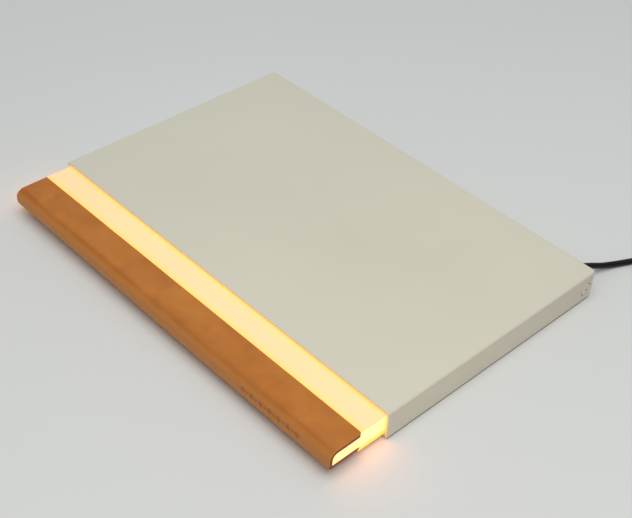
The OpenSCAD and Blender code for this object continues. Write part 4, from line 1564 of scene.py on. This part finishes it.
class FittingsOperator(bpy.types.Operator):
    """Makes the cord's boot, its tie and its plug"""

    bl_idname = "lamp.fittings"
    bl_label = "Cord fittings"

    def execute(self, context):
        boot = (BOOT_LOW + BOOT_HIGH) / 2
        place = Matrix.Translation((boot.x, CASE_HIGH.y, boot.z)) @ Matrix.Rotation(-math.pi / 2, 4, "X")
        sleeve = turned("strain_relief", [(r * MM, h * MM) for r, h in BOOT_PROFILE], place, 40)
        sleeve.data.set_sharp_from_angle(angle=math.radians(40))
        rubber = plastic_material("fitting_rubber", (0.011, 0.012, 0.013), (0.42, 0.58))
        settle(sleeve, "case", rubber, ("cord_boot",))

        middle = ((TIE_LOW.y + TIE_HIGH.y) / 2) / MM
        outline = [((middle + y) * MM, z * MM) for y, z in soften(STRAP_OUTLINE, 0.45)]
        inside = [((middle + y) * MM, z * MM) for y, z in soften(STRAP_INSIDE, 0.5)]
        tie = prism("coil_strap", outline, TIE_LOW.x, TIE_HIGH.x)
        carve(tie, [prism("cut", inside, TIE_LOW.x - MM, TIE_HIGH.x + MM)])
        round_edges(tie, STRAP_BEVEL * MM)
        tape = cloth_material("tie_fabric", (0.02, 0.02, 0.022), 1500)
        settle(tie, "case", tape, ("coil_tie",))

        plug = (PLUG_LOW + PLUG_HIGH) / 2
        grip = plug_body(plug.x, PLUG_HIGH.y, plug.z)
        settle(grip, "case", rubber, ("plug_body",))

        wall = SLEEVE_WALL * MM
        shell = box_piece("plug_sleeve", SHELL_LOW, SHELL_HIGH)
        cuts = [box_piece(
            "cut", (SHELL_LOW.x + wall, SHELL_LOW.y - MM, SHELL_LOW.z + wall),
            (SHELL_HIGH.x - wall, SHELL_HIGH.y - MM, SHELL_HIGH.z - wall),
        )]
        for x in WINDOW_PLACES:
            cuts.append(box_piece(
                "cut", (plug.x + (x - WINDOW_HALF) * MM, SHELL_LOW.y + WINDOW_START * MM, SHELL_LOW.z - MM),
                (plug.x + (x + WINDOW_HALF) * MM, SHELL_LOW.y + WINDOW_END * MM, SHELL_HIGH.z + MM),
            ))
        carve(shell, cuts)
        round_edges(shell, SLEEVE_BEVEL * MM)
        steel = metal_material("plug_steel", (0.66, 0.66, 0.67))
        settle(shell, "case", steel, ("plug_shell",))
        tongue = box_piece(
            "plug_tongue", (SHELL_LOW.x + wall, SHELL_LOW.y + TONGUE_BACK * MM, SHELL_LOW.z + wall),
            (SHELL_HIGH.x - wall, SHELL_HIGH.y - MM, SHELL_LOW.z + TONGUE_HEIGHT * MM),
        )
        round_edges(tongue, TONGUE_BEVEL * MM)
        settle(tongue, "case", plastic_material("tongue_plastic", (0.02, 0.02, 0.02)))
        return {"FINISHED"}


# ---------------------------------------------------------------- CAD nodes that keep their shape

# The base plate is darkened as painted shade in the thin gap under the case, and the diodes glow more
# strongly than the panel
PLATE_GAP_SHADE = 0.82
DIODE_GLOW = 4


class InnerPartsOperator(bpy.types.Operator):
    """Gives every CAD node that keeps its shape its finish"""

    bl_idname = "lamp.inner_parts"
    bl_label = "Inner parts"

    def execute(self, context):
        block = context.scene.lamp_block
        paint = context.scene.lamp_case.paint
        finishes = {
            # Painted shade: the base plate, seen only in the gap under the case, is darkened
            "plate_paint": paint_material("plate_paint", [c * PLATE_GAP_SHADE for c in paint]),
            "foot_rubber": plastic_material("foot_rubber", (0.03, 0.03, 0.03), (0.7, 0.85), 500),
            "bright_steel": metal_material("bright_steel", (0.62, 0.62, 0.64)),
            "felt": cloth_material("felt", (0.3, 0.29, 0.26), 900),
            "glide_plastic": plastic_material("glide_plastic", (0.7, 0.7, 0.66), (0.3, 0.4)),
            "black_plastic": plastic_material("black_plastic", (0.02, 0.02, 0.02)),
            "magnet_nickel": metal_material("magnet_nickel", (0.7, 0.7, 0.7), (0.08, 0.18)),
            "board_green": plastic_material("board_green", (0.02, 0.12, 0.05), (0.25, 0.35), 400),
            "contact_copper": metal_material(
                "contact_copper", (0.85, 0.48, 0.3), (0.15, 0.3), (900, 4, 900)
            ),
            "carbon_track": plastic_material("carbon_track", (0.02, 0.02, 0.022), (0.45, 0.6)),
            "wire_red": plastic_material("wire_red", (0.5, 0.04, 0.03), (0.3, 0.4)),
            "standoff_brass": metal_material("standoff_brass", (0.75, 0.6, 0.3)),
            "coil_winding": metal_material("coil_winding", (0.6, 0.28, 0.12), (0.25, 0.4), (30, 30, 3000)),
            "capacitor_sleeve": plastic_material("capacitor_sleeve", (0.03, 0.05, 0.15), (0.15, 0.25)),
            "terminal_green": plastic_material("terminal_green", (0.03, 0.25, 0.08)),
            "cord_fitting": plastic_material("cord_fitting", (0.013, 0.014, 0.016), (0.4, 0.55)),
            "cord_sheath": cord_material("inner_sheath", SHEATH_BLACK),
            "clear_guide": clear_material("clear_guide"),
            "white_film": plastic_material("white_film", (0.85, 0.85, 0.84), (0.5, 0.65)),
            "bare_aluminium": metal_material("bare_aluminium", (0.72, 0.73, 0.75)),
            "lit_led": glow_material(
                "lit_led", (0.8, 0.6, 0.2), block.panel_glow, DIODE_GLOW, block.panel_glow, DIODE_GLOW,
                PANEL_HIGH.x,
            ),
        }
        slots = {row["node"]: row["material_slot"] for row in frame["record"]["subparts"]}
        for name, node in frame["nodes"].items():
            finish = finishes.get(slots[name])
            if finish is None or node.hide_render:
                continue
            node.data.materials.clear()
            node.data.materials.append(finish)
        return {"FINISHED"}


# ---------------------------------------------------------------- add-on

# The fittings come before the cord, which names them
OPERATORS = (
    StageOperator,
    FittingsOperator,
    CordOperator,
    CaseOperator,
    ButtonOperator,
    BlockOperator,
    LeatherOperator,
    InnerPartsOperator,
)


class LampPanel(bpy.types.Panel):
    """Lists the lamp's pieces"""

    bl_idname = "VIEW3D_PT_book_lamp"
    bl_label = "Book lamp"
    bl_space_type = "VIEW_3D"
    bl_region_type = "UI"
    bl_category = "Book lamp"

    def draw(self, context):
        for operator in OPERATORS:
            self.layout.operator(operator.bl_idname)
        for name in SETTINGS:
            group = getattr(context.scene, name)
            box = self.layout.box()
            for key in group.__annotations__:
                box.prop(group, key)


def register():
    for name, group in SETTINGS.items():
        bpy.utils.register_class(group)
        setattr(bpy.types.Scene, name, PointerProperty(type=group))
    for operator in OPERATORS:
        bpy.utils.register_class(operator)
    bpy.utils.register_class(LampPanel)


def unregister():
    bpy.utils.unregister_class(LampPanel)
    for operator in reversed(OPERATORS):
        bpy.utils.unregister_class(operator)
    for name, group in SETTINGS.items():
        delattr(bpy.types.Scene, name)
        bpy.utils.unregister_class(group)


def main():
    register()
    bpy.ops.lamp.stage()
    bpy.ops.lamp.fittings()
    bpy.ops.lamp.cord()
    bpy.ops.lamp.case()
    bpy.ops.lamp.button()
    bpy.ops.lamp.block()
    bpy.ops.lamp.leather()
    bpy.ops.lamp.inner_parts()


if __name__ == "__main__":
    main()
